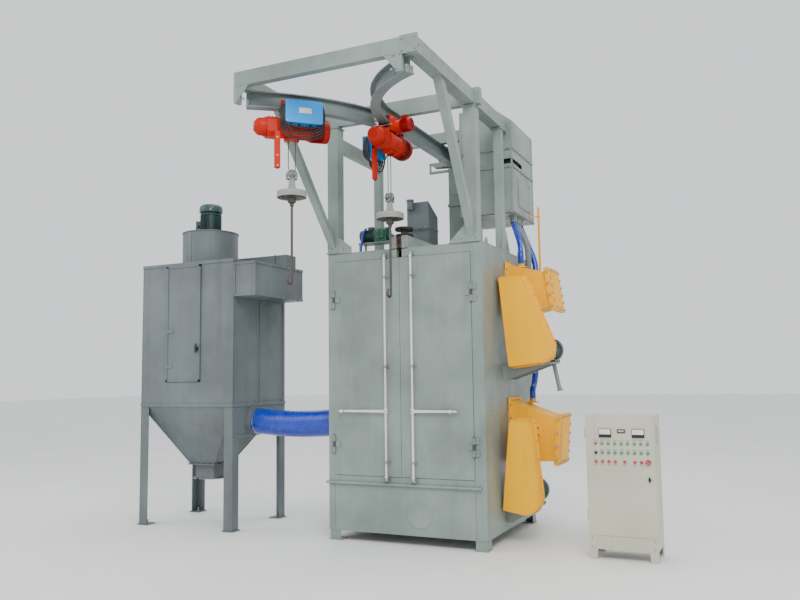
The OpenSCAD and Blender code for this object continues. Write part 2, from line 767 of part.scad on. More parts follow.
// Inverted pyramid with its outlet flange and ash spout
module collector_hopper() {
    o = 180;
    oc = [-2800, col_c[1]];
    color(shade) {
        difference() {
            hull() {
                block([col_left + 10, col_front + 10, col_low - 2],
                    [col_right - 10, col_rear - 10, col_low - 1]);
                block([oc[0] - o, oc[1] - o, outlet_z], [oc[0] + o, oc[1] + o, outlet_z + 1]);
            }
            hull() {
                block([col_left + 22, col_front + 22, col_low],
                    [col_right - 22, col_rear - 22, col_low + 1]);
                block([oc[0] - o + 8, oc[1] - o + 8, outlet_z - 1], [oc[0] + o - 8, oc[1] + o - 8, outlet_z]);
            }
        }
        difference() {
            block([oc[0] - o - 20, oc[1] - o - 20, outlet_z - 14],
                [oc[0] + o + 20, oc[1] + o + 20, outlet_z - 1]);
            block([oc[0] - o + 8, oc[1] - o + 8, outlet_z - 15],
                [oc[0] + o - 8, oc[1] + o - 8, outlet_z]);
        }
        difference() {
            block([oc[0] - 135, oc[1] - 135, 520], [oc[0] + 135, oc[1] + 135, outlet_z - 15]);
            bar_z(oc[0], oc[1], 519, outlet_z, 110);
        }
        block([oc[0] - 185, oc[1] - 140, 520], [oc[0] - 134, oc[1] - 80, 532]);
        bar_z(oc[0] - 155, oc[1] - 110, 500, 532, 10);
        bar_z(oc[0] - 155, oc[1] - 110, 500, 505, 16);
    }
}

module ash_valve() {
    oc = [-2800, col_c[1]];
    color(steel) {
        difference() {
            union() {
                bar_z(oc[0], oc[1], 506, 518, 160);
                block([oc[0] + 120, oc[1] - 20, 506], [oc[0] + 260, oc[1] + 20, 518]);
                bar_z(oc[0] - 155, oc[1] - 110, 506, 518, 34);
            }
            bar_z(oc[0] - 155, oc[1] - 110, 505, 519, 10 + run_fit);
        }
    }
}

module filter_cartridges() {
    color([0.9, 0.9, 0.86])
        for (i = [0 : 3], j = [0 : 2])
            difference() {
                bar_z(col_left + 190 + 325 * i, col_front + 190 + 340 * j, 1700, 2950, 120);
                bar_z(col_left + 190 + 325 * i, col_front + 190 + 340 * j, 1699, 2951, 100);
            }
}

module fan_casing() {
    r = fan_r;
    color(shade) {
        difference() {
            bar_z(fan_c[0], fan_c[1], col_top, 3520, r);
            bar_z(fan_c[0], fan_c[1], col_top + 8, 3512, r - 8);
            bar_z(fan_c[0], fan_c[1], col_top - 1, col_top + 9, 220);
            bar_z(fan_c[0], fan_c[1], 3510, 3521, 40);
            block([fan_c[0], fan_c[1] + 126, col_top + 8], [fan_c[0] + 400, fan_c[1] + 300, outlet_top - 6]);
        }
        // low outlet box behind the drum, leading to the right
        difference() {
            block([fan_c[0], fan_c[1] + 120, col_top + gap], [-1960, fan_c[1] + fan_r - 10, outlet_top]);
            block([fan_c[0] - 1, fan_c[1] + 126, col_top + 7],
                [-1959, fan_c[1] + fan_r - 16, outlet_top - 6]);
            bar_z(fan_c[0], fan_c[1], col_top, outlet_top + 1, r + gap);
        }
    }
}

module fan_motor() {
    color(motor_green) {
        difference() {
            bar_z(fan_c[0], fan_c[1], 3521, 3790, 135);
            bar_z(fan_c[0], fan_c[1], 3520, 3600, 34);
        }
        block([fan_c[0] - 180, fan_c[1] - 50, 3600], [fan_c[0] - 120, fan_c[1] + 50, 3700]);
    }
    color(shade)
        bar_z(fan_c[0], fan_c[1], 3791, 3895, 142);
}

module fan_impeller() {
    color(steel) {
        bar_z(fan_c[0], fan_c[1], 3130, 3138, fan_r - 50);
        bar_z(fan_c[0], fan_c[1], 3400, 3408, fan_r - 50);
        bar_z(fan_c[0], fan_c[1], 3120, 3590, 30);
        for (i = [0 : 11])
            translate([fan_c[0], fan_c[1], 0]) rotate([0, 0, 30 * i])
                block([170, -3, 3136], [fan_r - 54, 3, 3402]);
    }
}

module exhaust_duct() {
    color(shade) {
        difference() {
            block([col_right + gap, col_front + 2, 2650], [-1789, col_rear - 60, 3045]);
            block([col_right + 7, col_front + 8, 2656], [-1795, col_rear - 66, 3039]);
            block([-1953, fan_c[1] + 126, 3038], [-1806, fan_c[1] + fan_r - 66, 3046]);
            block([-1950, -800, 2649], [-1830, -200, 2657]);
        }
        difference() {
            block([-1960 + gap, fan_c[1] + 120, 3046], [-1800, fan_c[1] + fan_r - 10, outlet_top]);
            block([-1960, fan_c[1] + 126, 3045], [-1806, fan_c[1] + fan_r - 16, outlet_top - 6]);
        }
    }
}

module control_cabinet_body() {
    x0 = panel_left;
    x1 = panel_right;
    y0 = panel_front + 22;
    y1 = panel_front + 400;
    t = 3;
    color([0.75, 0.75, 0.70]) {
        block([x0, y0, panel_z], [x0 + t, y1, panel_top - t - gap]);
        block([x1 - t, y0, panel_z], [x1, y1, panel_top - t - gap]);
        block([x0 + t + gap, y1 - t, panel_z + t + gap], [x1 - t - gap, y1, panel_top - t - gap]);
        block([x0, y0, panel_top - t], [x1, y1, panel_top]);
        block([x0 + t + gap, y0, panel_z], [x1 - t - gap, y1, panel_z + t]);
        difference() {
            block([x0 + 4, y0 - 18, 90], [x1 - 4, y1 - 4, panel_z - gap]);
            block([x0 + 10, y0 - 12, 89], [x1 - 10, y1 - 10, panel_z]);
            for (i = [0 : 2])
                bar_y(x0 + 200 + 110 * i, 150, y1 - 20, y1, 15);
        }
        for (x = [x0 + 4, x1 - 74], y = [y0 - 18, y1 - 54])
            difference() {
                block([x, y, 0], [x + 70, y + 50, 89]);
                block([x + 10, y - 1, -1], [x + 60, y + 51, 75]);
            }
        for (z = [400, 1150]) {
            bar_z(x0 - 6, panel_front + 10, z - 45, z + 45, 3);
            for (s = [-1, 1]) {
                bar_z(x0 - 6, panel_front + 10, z + s * 31 - 14, z + s * 31 + 14, 6);
                block([x0 - 8, panel_front + 10, z + s * 31 - 14], [x0 - gap, y0 + 16, z + s * 31 + 14]);
            }
        }
    }
}

module mounting_plate() {
    y = panel_front + 330;
    color([0.85, 0.6, 0.3])
        block([panel_left + 30, y, 300], [panel_right - 30, y + 3, 1240]);
    color([0.2, 0.2, 0.22])
        for (i = [0 : 5], z = [420, 700, 980])
            block([panel_left + 60 + 86 * i, y - 84, z], [panel_left + 120 + 86 * i, y - 1, z + 110]);
}

module control_door() {
    y = panel_front;
    color([0.75, 0.75, 0.70]) {
        difference() {
            block([panel_left + 1, y, panel_z + 1], [panel_right - 1, y + 20, panel_top - 1]);
            for (i = [1 : 8])
                bar_y(lamp_x(i), 973, y - 1, y + 21, 11);
            for (i = [0 : 7])
                bar_y(stop_x(i), 891, y - 1, y + 21, i == 7 ? 17 : 11);
            bar_y(lamp_x(0), 973, y - 1, y + 21, 11);
        }
        difference() {
            union() {
                for (z = [400, 1150]) {
                    bar_z(panel_left - 6, y + 10, z - 16, z + 16, 6);
                    block([panel_left - 6, y + 6, z - 16], [panel_left + 4, y + 14, z + 16]);
                }
            }
            bar_z(panel_left - 6, y + 10, 300, 1300, 3 + run_fit);
        }
    }
    color(steel) {
        bar_y(panel_left + 570, 738, y - 12, y, 16);
        block([panel_left + 562, y - 16, 722], [panel_left + 578, y - 12, 754]);
    }
}

module panel_instruments() {
    y = panel_front;
    for (x = [2013, 2312])
        color([0.92, 0.92, 0.9]) block([x - 53, y - 16, 1116], [x + 53, y, 1190]);
    color([0.45, 0.2, 0.15]) block([2124, y - 10, 1155], [2197, y, 1190]);
    for (i = [0 : 8])
        color(i == 0 ? [0.8, 0.1, 0.1] : [0.1, 0.6, 0.3]) {
            bar_y(lamp_x(i), 1057, y - 6, y, 15);
            bar_y(lamp_x(i), 1057, y - 14, y, 11);
        }
}

// Push button with its head outside the door and its stem inside
module button(x, z, stem_r, head_r) {
    bar_y(x, z, panel_front - 14, panel_front - 6, head_r);
    bar_y(x, z, panel_front - 10, panel_front + 30, stem_r - run_fit);
}

module start_buttons() {
    color([0.1, 0.6, 0.3])
        for (i = [1 : 8])
            button(lamp_x(i), 973, 11, 14);
}

module stop_buttons() {
    color([0.8, 0.1, 0.1])
        for (i = [0 : 6])
            button(stop_x(i), 891, 11, 14);
}

module emergency_stop() {
    color([0.85, 0.1, 0.08]) {
        bar_y(stop_x(7), 891, panel_front - 30, panel_front - 16, 22);
        bar_y(stop_x(7), 891, panel_front - 18, panel_front + 30, 17 - run_fit);
    }
}

module selector_switch() {
    color([0.15, 0.15, 0.15]) {
        bar_y(lamp_x(0), 973, panel_front - 8, panel_front - 2, 15);
        bar_y(lamp_x(0), 973, panel_front - 6, panel_front + 30, 11 - run_fit);
        block([lamp_x(0) - 4, panel_front - 22, 959], [lamp_x(0) + 4, panel_front - 7, 987]);
    }
}

// Door leaf: outer sheet, rim and two stiffeners, with its hinge knuckles
module door_leaf(x0, x1, axis, side) {
    y1 = leaf_out + door_t;
    color(paint) {
        difference() {
            block([x0, leaf_out, door_bottom], [x1, y1, door_top]);
            for (i = [0 : 2])
                block([x0 + 30, leaf_out + 6, door_bottom + 30 + 745 * i],
                    [x1 - 30, y1 + 1, door_bottom + 745 + 745 * i]);
        }
        difference() {
            for (z = [hinge_low_z, hinge_high_z]) {
                bar_z(axis, axis_y, z - 30, z + 30, knuckle_r);
                block([min(axis, axis + side * 70), axis_y + 4, z - 30],
                    [max(axis, axis + side * 70), leaf_out, z + 30]);
            }
            bar_z(axis, axis_y, hinge_low_z - 40, hinge_high_z + 40, hinge_pin_r + run_fit);
        }
        // guides that hold the lock rod
        x = side > 0 ? rod_left_x : rod_right_x;
        for (z = [830, 1810, 2750])
            difference() {
                block([x - 20, rod_y - 15, z - 10], [x + 20, leaf_out, z + 10]);
                bar_z(x, rod_y, z - 11, z + 11, rod_r + run_fit);
            }
    }
}

module door_left() {
    door_leaf(leaf_left, slot_x - 2, axis_left, 1);
}

module door_right() {
    door_leaf(slot_x + 2, leaf_right, axis_right, -1);
}

// Lock rod that turns in its guides, with its lever and knob
module lock_rod(x, side, length) {
    color(cream) {
        bar_z(x, rod_y, door_bottom - 40, door_top + 45, rod_r);
        bar_z(x, rod_y, lever_z - 22, lever_z + 22, 19);
        block([min(x, x + side * length), rod_y - 8, lever_z - 12],
            [max(x, x + side * length), rod_y + 4, lever_z + 12]);
        bar_y(x + side * (length - 60), lever_z, rod_y - 60, rod_y - 7, 9);
        bar_y(x + side * (length - 60), lever_z, rod_y - 62, rod_y - 30, 16);
    }
}

module lock_rod_left() {
    lock_rod(rod_left_x, -1, 560);
}

module lock_rod_right() {
    lock_rod(rod_right_x, 1, 490);
}

// Places its children at the left hoist, X along the rail
module at_left() {
    translate([left_c[0] + left_r * cos(left_angle), left_c[1] + left_r * sin(left_angle), rail_z])
        rotate([0, 0, left_angle + 90]) children();
}

// Places its children at the right hoist, X along the rail towards the chamber
module at_right() {
    translate([slot_x, right_c[1], rail_z]) rotate([0, 0, 90]) children();
}

// Electric rope hoist under a four-wheel trolley; side is where its switch box hangs
module hoist(side, box_from, box_to) {
    color(red) {
        bar_x(0, drum_z, -150, 170, 105);
        bar_x(0, drum_z, 171, 300, 118);
        bar_x(0, drum_z, 301, 372, 92);
        block([-262, -88, drum_z - 100], [-151, 88, drum_z + 95]);
        bar_x(0, drum_z, -372, -263, 95);
        for (s = [-1, 1])
            block([-120, s * 64 - 5, -60], [120, s * 64 + 5, 80]);
        block([-120, -69, -95], [120, 69, -61]);
        // travel motor beside the trolley
        translate([20, side * -70, -20]) rotate([side * 90, 0, 0]) {
            cylinder(h = 70, r = 62);
            translate([0, 0, 70]) cylinder(h = 120, r = 74);
        }
        // pendant bar
        block([-190, side * 90 - 20, drum_z - 420], [-130, side * 90 + 20, drum_z - 60]);
    }
    color(steel)
        for (x = [-72, 72], s = [-1, 1]) {
            translate([x, s * 14, axle_z]) rotate([-s * 90, 0, 0]) cylinder(h = 28, r = 34);
            translate([x, s * 30, axle_z]) rotate([-s * 90, 0, 0]) cylinder(h = 45, r = 12);
        }
    color([0.24, 0.6, 0.84])
        block([box_from[0], min(side * 125, side * 235), drum_z + box_from[1]],
            [box_to[0], max(side * 125, side * 235), drum_z + box_to[1]]);
    color([0.2, 0.2, 0.2])
        block([box_from[0] + 30, min(side * 90, side * 130), drum_z + 10],
            [box_to[0] - 30, max(side * 90, side * 130), drum_z + 40]);
}

module hoist_left() {
    at_left() hoist(-1, [-105, 0], [255, 220]);
}

module hoist_right() {
    at_right() hoist(1, [-150, -135], [170, 60]);
}

// Two rope falls between the drum and the block
module rope(disc_z) {
    top = drum_z - 108;
    low = disc_z - rail_z + 250;
    color([0.4, 0.4, 0.4])
        for (s = [-1, 1])
            bar_z(s * 34, 0, low, top, 5);
}

module rope_left() {
    at_left() rope(left_disc_z);
}

module rope_right() {
    at_right() rope(right_disc_z);
}

// Block with its sheave housing and the bearing cup over the disc
module hook_block(disc_z) {
    z = disc_z - rail_z;
    color(shade) {
        block([-52, -26, z + 150], [52, 26, z + 248]);
        bar_x(0, z + 200, -24, 24, 46);
        bar_z(0, 0, z + 60, z + 150, 34);
        bar_z(0, 0, z + 36, z + 60, 56);
    }
}

module hook_block_left() {
    at_left() hook_block(left_disc_z);
}

module hook_block_right() {
    at_right() hook_block(right_disc_z);
}

// Turning disc, stem and hook, all one forging
module hook_rod(disc_z, tip_z) {
    z = disc_z - rail_z;
    tip = tip_z - rail_z;
    color(steel) {
        bar_z(0, 0, z - 30, z + 35, disc_r);
        bar_z(0, 0, z - 80, z - 30, 40);
        bar_z(0, 0, tip + 100, z - 70, 12);
        translate([0, -40, tip + 62]) rotate([0, 90, 0]) rotate([0, 0, -90])
            rotate_extrude(angle = 270, $fn = 40) translate([40, 0]) circle(r = 11, $fn = 24);
        bar_z(0, 0, tip + 62, tip + 104, 12);
    }
}

module hook_rod_left() {
    at_left() rotate([0, 0, -left_angle - 90]) hook_rod(left_disc_z, 2570);
}

module hook_rod_right() {
    at_right() rotate([0, 0, -90]) hook_rod(right_disc_z, 2480);
}

module screw_conveyor() {
    color(steel) {
        bar_y(screw[0], screw[1], -yr + 20, yr - 20, 30);
        for (i = [0 : 13])
            bar_y(screw[0], screw[1], -yr + 60 + 120 * i, -yr + 68 + 120 * i, screw_r);
    }
}

module collector_door() {
    y = col_front;
    color(shade) {
        difference() {
            union() {
                block([filter_door[0], y - 8, 1680], [filter_door[1], y - 1, 3056]);
                for (z = filter_hinges) {
                    bar_z(filter_hinge_x, y - 12, z - 20, z + 20, 6);
                    block([filter_hinge_x, y - 14, z - 20], [filter_hinge_x + 32, y - 8, z + 20]);
                }
            }
            bar_z(filter_hinge_x, y - 12, 1700, 2400, 3 + run_fit);
        }
        bar_y(-2600, 2060, y - 34, y - 8, 10);
        block([-2608, y - 40, 2020], [-2592, y - 32, 2120]);
    }
}

chamber_shell();
cabinet_feet();
hopper_pan();
wear_liners();
floor_grating();
roof_slot_channel();
door_fittings();
overhead_frame();
monorail_track();
elevator_casing();
bucket_belt();
elevator_drive();
separator_box();
wheel_casing_upper();
wheel_casing_lower();
belt_guard_upper();
belt_guard_lower();
wheel_motors();
drive_belts();
feed_hoses();
feed_pipes();
spin_drive();
roof_vent_box();
duct_hose();
collector_body();
collector_hopper();
filter_cartridges();
fan_casing();
fan_motor();
exhaust_duct();
control_cabinet_body();
panel_instruments();
mounting_plate();
door_left();
door_right();
lock_rod_left();
lock_rod_right();
hoist_left();
hoist_right();
rope_left();
rope_right();
hook_block_left();
hook_block_right();
hook_rod_left();
hook_rod_right();
friction_wheel();
impeller_upper();
impeller_lower();
motor_pulley_upper();
motor_pulley_lower();
elevator_drum();
screw_conveyor();
fan_impeller();
collector_door();
ash_valve();
control_door();
start_buttons();
stop_buttons();
emergency_stop();
selector_switch();
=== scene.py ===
import json
import random
from math import atan2, copysign, cos, pi, radians, sin
import bmesh
import bpy
from mathutils import Matrix, Vector


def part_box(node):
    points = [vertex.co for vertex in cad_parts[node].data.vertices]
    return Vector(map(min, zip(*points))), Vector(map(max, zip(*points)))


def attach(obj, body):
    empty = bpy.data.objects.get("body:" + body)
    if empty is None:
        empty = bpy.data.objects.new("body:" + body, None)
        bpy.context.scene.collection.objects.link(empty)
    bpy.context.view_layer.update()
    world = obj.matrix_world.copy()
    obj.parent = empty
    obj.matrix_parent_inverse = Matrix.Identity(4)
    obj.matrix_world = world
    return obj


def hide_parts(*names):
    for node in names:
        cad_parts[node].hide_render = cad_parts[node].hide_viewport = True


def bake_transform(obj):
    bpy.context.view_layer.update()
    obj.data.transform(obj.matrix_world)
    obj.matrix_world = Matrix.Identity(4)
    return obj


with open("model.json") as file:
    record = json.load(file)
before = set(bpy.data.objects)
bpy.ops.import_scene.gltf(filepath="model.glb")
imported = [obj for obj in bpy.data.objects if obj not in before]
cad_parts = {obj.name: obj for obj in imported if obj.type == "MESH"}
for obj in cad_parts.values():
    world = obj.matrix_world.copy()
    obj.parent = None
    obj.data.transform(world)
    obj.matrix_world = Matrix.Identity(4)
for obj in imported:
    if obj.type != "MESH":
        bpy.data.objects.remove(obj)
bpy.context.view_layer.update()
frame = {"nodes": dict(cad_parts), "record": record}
JOINTS = {joint["name"]: joint for joint in frame["record"]["behaviour"]["joints"]}
SIDE_NAME = {-1: "left", 1: "right"}
CORNERS = [(i, j) for i in (-1, 1) for j in (-1, 1)]
HINGE_Y = -0.897
HINGE_Z = (1.0, 2.54)
BEAM_Z = 4.55
POST_FRONT_Y = -0.889
RAIL_RADIUS = {"hoist_left_travel": 2.2, "hoist_right_travel": 1.29}
X, Y, Z = Vector((1, 0, 0)), Vector((0, 1, 0)), Vector((0, 0, 1))
random.seed(7)


def low(node):
    return Vector(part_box(node)[0])


def high(node):
    return Vector(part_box(node)[1])


def pivot(joint):
    return JOINTS[joint]["pos_m"]


# ---------------------------------------------------------------- camera, light and floor

def make_camera():
    data = bpy.data.cameras.new("camera")
    data.sensor_width = 36.0
    data.lens = 35.304
    data.clip_end = 200
    camera = bpy.data.objects.new("camera", data)
    bpy.context.scene.collection.objects.link(camera)
    yaw, pitch, roll = radians(25.109), radians(5.607), radians(-0.785)
    flat = Vector((-sin(yaw), cos(yaw), 0))
    right = Vector((cos(yaw), sin(yaw), 0))
    ahead = cos(pitch) * flat + sin(pitch) * Z
    up = -sin(pitch) * flat + cos(pitch) * Z
    camera_x = cos(roll) * right + sin(roll) * up
    camera_y = -sin(roll) * right + cos(roll) * up
    turn = Matrix((camera_x, camera_y, -ahead)).transposed()
    camera.matrix_world = Matrix.Translation((3.4435, -8.2696, 1.7)) @ turn.to_4x4()
    bpy.context.scene.camera = camera


def area_light(name, place, target, size, power, colour):
    data = bpy.data.lights.new(name, "AREA")
    data.shape = "DISK"
    data.size = size
    data.energy = power
    data.color = colour
    lamp = bpy.data.objects.new(name, data)
    bpy.context.scene.collection.objects.link(lamp)
    lamp.location = place
    lamp.rotation_euler = (Vector(target) - Vector(place)).to_track_quat("-Z", "Y").to_euler()


def make_light():
    world = bpy.data.worlds.new("studio")
    bpy.context.scene.world = world
    world.use_nodes = True
    back = world.node_tree.nodes["Background"]
    back.inputs["Color"].default_value = (0.95, 0.97, 1.0, 1)
    back.inputs["Strength"].default_value = 1.15
    area_light("key", (4.5, -7.5, 8.5), (0, -0.5, 2.0), 5.0, 620, (1.0, 0.98, 0.95))
    area_light("side", (-8.0, -5.0, 6.5), (-1.5, 0, 2.0), 5.0, 160, (0.95, 0.98, 1.0))
    area_light("top", (0.0, 1.0, 10.5), (0, 0, 2.5), 6.0, 300, (1.0, 1.0, 1.0))


# ---------------------------------------------------------------- materials

class Shader:
    """A material built node by node, on the object's own coordinates."""

    def __init__(self, name):
        self.material = bpy.data.materials.new(name)
        self.material.use_nodes = True
        self.tree = self.material.node_tree
        self.tree.nodes.clear()
        self.output = self.node("OutputMaterial")
        self.principled = self.node("BsdfPrincipled")
        self.feed(self.output.inputs["Surface"], self.principled.outputs["BSDF"])
        self.place = self.node("TexCoord").outputs["Object"]

    def feed(self, socket, value):
        """Links a value that comes from a node, or else sets it."""
        if hasattr(value, "is_output"):
            self.tree.links.new(value, socket)
        else:
            socket.default_value = value

    def node(self, kind, values=None, **settings):
        node = self.tree.nodes.new("ShaderNode" + kind)
        for name, value in settings.items():
            setattr(node, name, value)
        for socket, value in (values or {}).items():
            self.feed(node.inputs[socket], value)
        return node

    def set(self, socket, value):
        self.feed(self.principled.inputs[socket], value)

    def stretched(self, factors):
        return self.node("Mapping", {"Scale": factors, "Vector": self.place}).outputs["Vector"]

    def noise(self, scale, detail=4.0, rough=0.55, vector=None):
        values = {"Scale": scale, "Detail": detail, "Roughness": rough, "Vector": vector or self.place}
        return self.node("TexNoise", values).outputs["Fac"]

    def ramp(self, value, start, end, from_value=0.0, to_value=1.0):
        values = {"From Min": start, "From Max": end, "To Min": from_value, "To Max": to_value,
            "Value": value}
        return self.node("MapRange", values).outputs["Result"]

    def maths(self, how, a, b):
        return self.node("Math", {0: a, 1: b}, operation=how, use_clamp=True).outputs[0]

    def mix(self, factor, a, b):
        """Blend of two colours; 6, 7 and 2 are the Mix node's colour sockets."""
        return self.node("Mix", {0: factor, 6: a, 7: b}, data_type="RGBA").outputs[2]

    def bump(self, height, strength, distance):
        values = {"Strength": strength, "Distance": distance, "Height": height}
        return self.node("Bump", values).outputs["Normal"]

    def edges(self, radius):
        """1 on convex and concave edges, 0 on flats."""
        bevel = self.node("Bevel", {"Radius": radius}, samples=4)
        normal = self.node("NewGeometry").outputs["Normal"]
        dot = self.node("VectorMath", {0: bevel.outputs[0], 1: normal}, operation="DOT_PRODUCT")
        return self.ramp(dot.outputs["Value"], 0.995, 0.93)


def linear(colour):
    return tuple(((c + 0.055) / 1.055) ** 2.4 if c > 0.04 else c / 12.92 for c in colour) + (1,)


def painted(name, colour, rough=0.42, vary=0.1, grime=0.35, chips=0.5, under=(0.33, 0.25, 0.21), coat=0.0,
        dents=0.25, grain=260.0, shine=0.5):
    """Sprayed paint: patchy tone, vertical grime runs, chipped edges and orange peel."""
    s = Shader(name)
    dark = linear([c * (1 - vary) for c in colour])
    pale = linear([min(1, c * (1 + vary * 0.6)) for c in colour])
    tone = s.mix(s.ramp(s.noise(1.6, 5.0), 0.35, 0.65), dark, pale)
    streaks = s.noise(9.0, 6.0, 0.6, s.stretched((1.0, 1.0, 0.09)))
    cloud = s.noise(0.9, 4.0)
    dirt = s.maths("MULTIPLY", s.ramp(streaks, 0.5, 0.78), s.ramp(cloud, 0.38, 0.62, 0.15, grime))
    body = s.mix(dirt, tone, linear([c * 0.62 for c in colour]))
    spots = s.ramp(s.noise(38.0, 8.0, 0.7), 0.7, 0.74, 0.0, 0.35)
    body = s.mix(spots, body, linear([c * 0.72 for c in colour]))
    worn = s.maths("MULTIPLY", s.edges(0.0035), s.ramp(s.noise(24.0, 6.0, 0.7), 0.52, 0.6, 0.0, chips))
    s.set("Base Color", s.mix(worn, body, linear(under)))
    s.set("Roughness", s.ramp(s.noise(5.0, 5.0), 0.3, 0.7, rough - 0.08, rough + 0.14))
    s.set("Coat Weight", coat)
    s.set("Specular IOR Level", shine)
    waves = s.maths("MULTIPLY", s.noise(3.2, 2.0), dents)
    height = s.maths("ADD", waves, s.maths("MULTIPLY", s.noise(grain, 2.0), 0.02))
    s.set("Normal", s.bump(height, 0.35, 0.02))
    return s.material


def metal(name, colour, rough=0.38, vary=0.15, rust=0.0, brushed=(1, 1, 1), grain=60.0):
    """Bare steel with brushing, stains and optional rust."""
    s = Shader(name)
    line = s.noise(grain, 6.0, 0.6, s.stretched(brushed))
    tone = s.mix(s.ramp(line, 0.3, 0.7), linear([c * (1 - vary) for c in colour]), linear(colour))
    stain = s.ramp(s.noise(7.0, 6.0, 0.65), 0.5, 0.66, 0.0, rust)
    s.set("Base Color", s.mix(stain, tone, linear((0.34, 0.21, 0.14))))
    s.set("Metallic", s.ramp(stain, 0.0, 1.0, 0.95, 0.2))
    s.set("Roughness", s.ramp(line, 0.2, 0.8, rough - 0.08, rough + 0.16))
    s.set("Normal", s.bump(line, 0.25, 0.0012))
    return s.material


def moulded(name, colour, rough=0.5, vary=0.06, bump=0.2, scale=180.0, coat=0.0, dust=0.15):
    """Plastic or rubber: slight mottling, pale dust in random patches, fine texture."""
    s = Shader(name)
    tone = s.mix(s.ramp(s.noise(14.0, 4.0), 0.3, 0.7), linear([c * (1 - vary) for c in colour]),
        linear(colour))
    cover = s.ramp(s.noise(4.5, 6.0, 0.65), 0.5, 0.7, 0.0, dust)
    s.set("Base Color", s.mix(cover, tone, linear((0.58, 0.57, 0.54))))
    s.set("Roughness", s.ramp(s.noise(22.0, 4.0), 0.3, 0.7, rough - 0.06, rough + 0.1))
    s.set("Coat Weight", coat)
    s.set("Normal", s.bump(s.noise(scale, 3.0), bump, 0.0008))
    return s.material


PAINT = painted("cabinet_paint", (0.5, 0.555, 0.535), 0.4)
HOUSING = painted("collector_paint", (0.4, 0.435, 0.445), 0.44, grime=0.45)
RAIL = painted("rail_paint", (0.45, 0.495, 0.495), 0.44, chips=0.8)
YELLOW = painted("yellow_paint", (1.0, 0.72, 0.0), 0.45, vary=0.03, grime=0.25, under=(0.25, 0.2, 0.16),
    shine=0.15)
PALE = painted("pale_casting", (0.6, 0.61, 0.585), 0.46, vary=0.1, grime=0.5, under=(0.4, 0.3, 0.24))
CREAM = painted("cream_paint", (0.885, 0.87, 0.81), 0.33, vary=0.05, grime=0.25)
PANEL = painted("panel_paint", (0.755, 0.75, 0.668), 0.38, vary=0.04, grime=0.18, chips=0.25, dents=0.08)
ORANGE = painted("hoist_orange", (0.74, 0.12, 0.01), 0.4, vary=0.12, grime=0.55, shine=0.2)
DARKRED = painted("hoist_red", (0.56, 0.04, 0.02), 0.4, vary=0.12, grime=0.55, shine=0.25)
BOXBLUE = painted("hoist_blue", (0.0, 0.55, 0.86), 0.36, vary=0.05, grime=0.2, dents=0.1, shine=0.3)
MOTOR = painted("motor_paint", (0.17, 0.28, 0.275), 0.4, vary=0.14, grime=0.3, chips=0.3)
GEARBOX = painted("gearbox_paint", (0.11, 0.36, 0.28), 0.36, vary=0.12, grime=0.3, chips=0.3)
STEEL = metal("bare_steel", (0.63, 0.63, 0.62), 0.34, rust=0.15, grain=45.0)
ZINC = metal("zinc_bolt", (0.7, 0.7, 0.67), 0.3, rust=0.1, grain=90.0)
WORN = metal("worn_steel", (0.4, 0.385, 0.37), 0.48, rust=0.55, grain=30.0)
ROPE = metal("rope_steel", (0.42, 0.42, 0.41), 0.42, rust=0.2, grain=240.0)
BLACK = moulded("black_rubber", (0.075, 0.075, 0.08), 0.6, dust=0.35)
WHEEL = moulded("wheel_rubber", (0.15, 0.12, 0.115), 0.72, dust=0.3, bump=0.5, scale=90.0)
HOSE = moulded("blue_hose", (0.03, 0.22, 0.74), 0.26, vary=0.2, bump=0.12, scale=60.0, coat=0.3,
    dust=0.06)
BRUSH = moulded("brush_bristle", (0.36, 0.26, 0.19), 0.85, vary=0.45, bump=0.5)
DARK = moulded("black_plastic", (0.1, 0.1, 0.105), 0.42, dust=0.1)
WHITE = moulded("white_plastic", (0.9, 0.9, 0.87), 0.28, vary=0.03, dust=0.05, coat=0.4)
COUNTER = moulded("brown_plastic", (0.42, 0.15, 0.12), 0.3, coat=0.3, dust=0.05)
GREEN = moulded("green_plastic", (0.1, 0.6, 0.34), 0.22, coat=0.5, dust=0.04)
RED = moulded("red_plastic", (0.8, 0.09, 0.08), 0.22, coat=0.5, dust=0.04)
PLATE = metal("label_plate", (0.76, 0.76, 0.74), 0.36, grain=120.0, brushed=(1, 1, 8))
FILTER = moulded("filter_paper", (0.88, 0.87, 0.82), 0.85, vary=0.1)
COPPER = painted("mounting_orange", (0.86, 0.6, 0.3), 0.5)


def make_floor():
    s = Shader("studio_floor")
    tone = s.mix(s.ramp(s.noise(0.7, 6.0), 0.3, 0.7), linear((0.9, 0.9, 0.895)),
        linear((0.93, 0.93, 0.925)))
    s.set("Base Color", tone)
    s.set("Roughness", s.ramp(s.noise(6.0, 6.0), 0.3, 0.7, 0.55, 0.75))
    mesh = bpy.data.meshes.new("floor")
    reach = 60
    mesh.from_pydata([(-reach, -reach, 0), (reach, -reach, 0), (reach, reach, 0), (-reach, reach, 0)], [],
        [(0, 1, 2, 3)])
    floor = bpy.data.objects.new("floor", mesh)
    floor.data.materials.append(s.material)
    bpy.context.scene.collection.objects.link(floor)
    floor.location.z = -0.002


# ---------------------------------------------------------------- mesh building

def across(axis):
    """Two unit vectors square to axis."""
    axis = Vector(axis).normalized()
    u = axis.cross(Z if abs(axis.z) < 0.9 else X).normalized()
    return u, axis.cross(u).normalized()


def spoke(axis, angle):
    """Unit vector square to X, Y or Z, at an angle from the first of the other two."""
    first, second = (Y, Z) if axis[0] else (X, Z) if axis[1] else (X, Y)
    return first * cos(angle) + second * sin(angle)


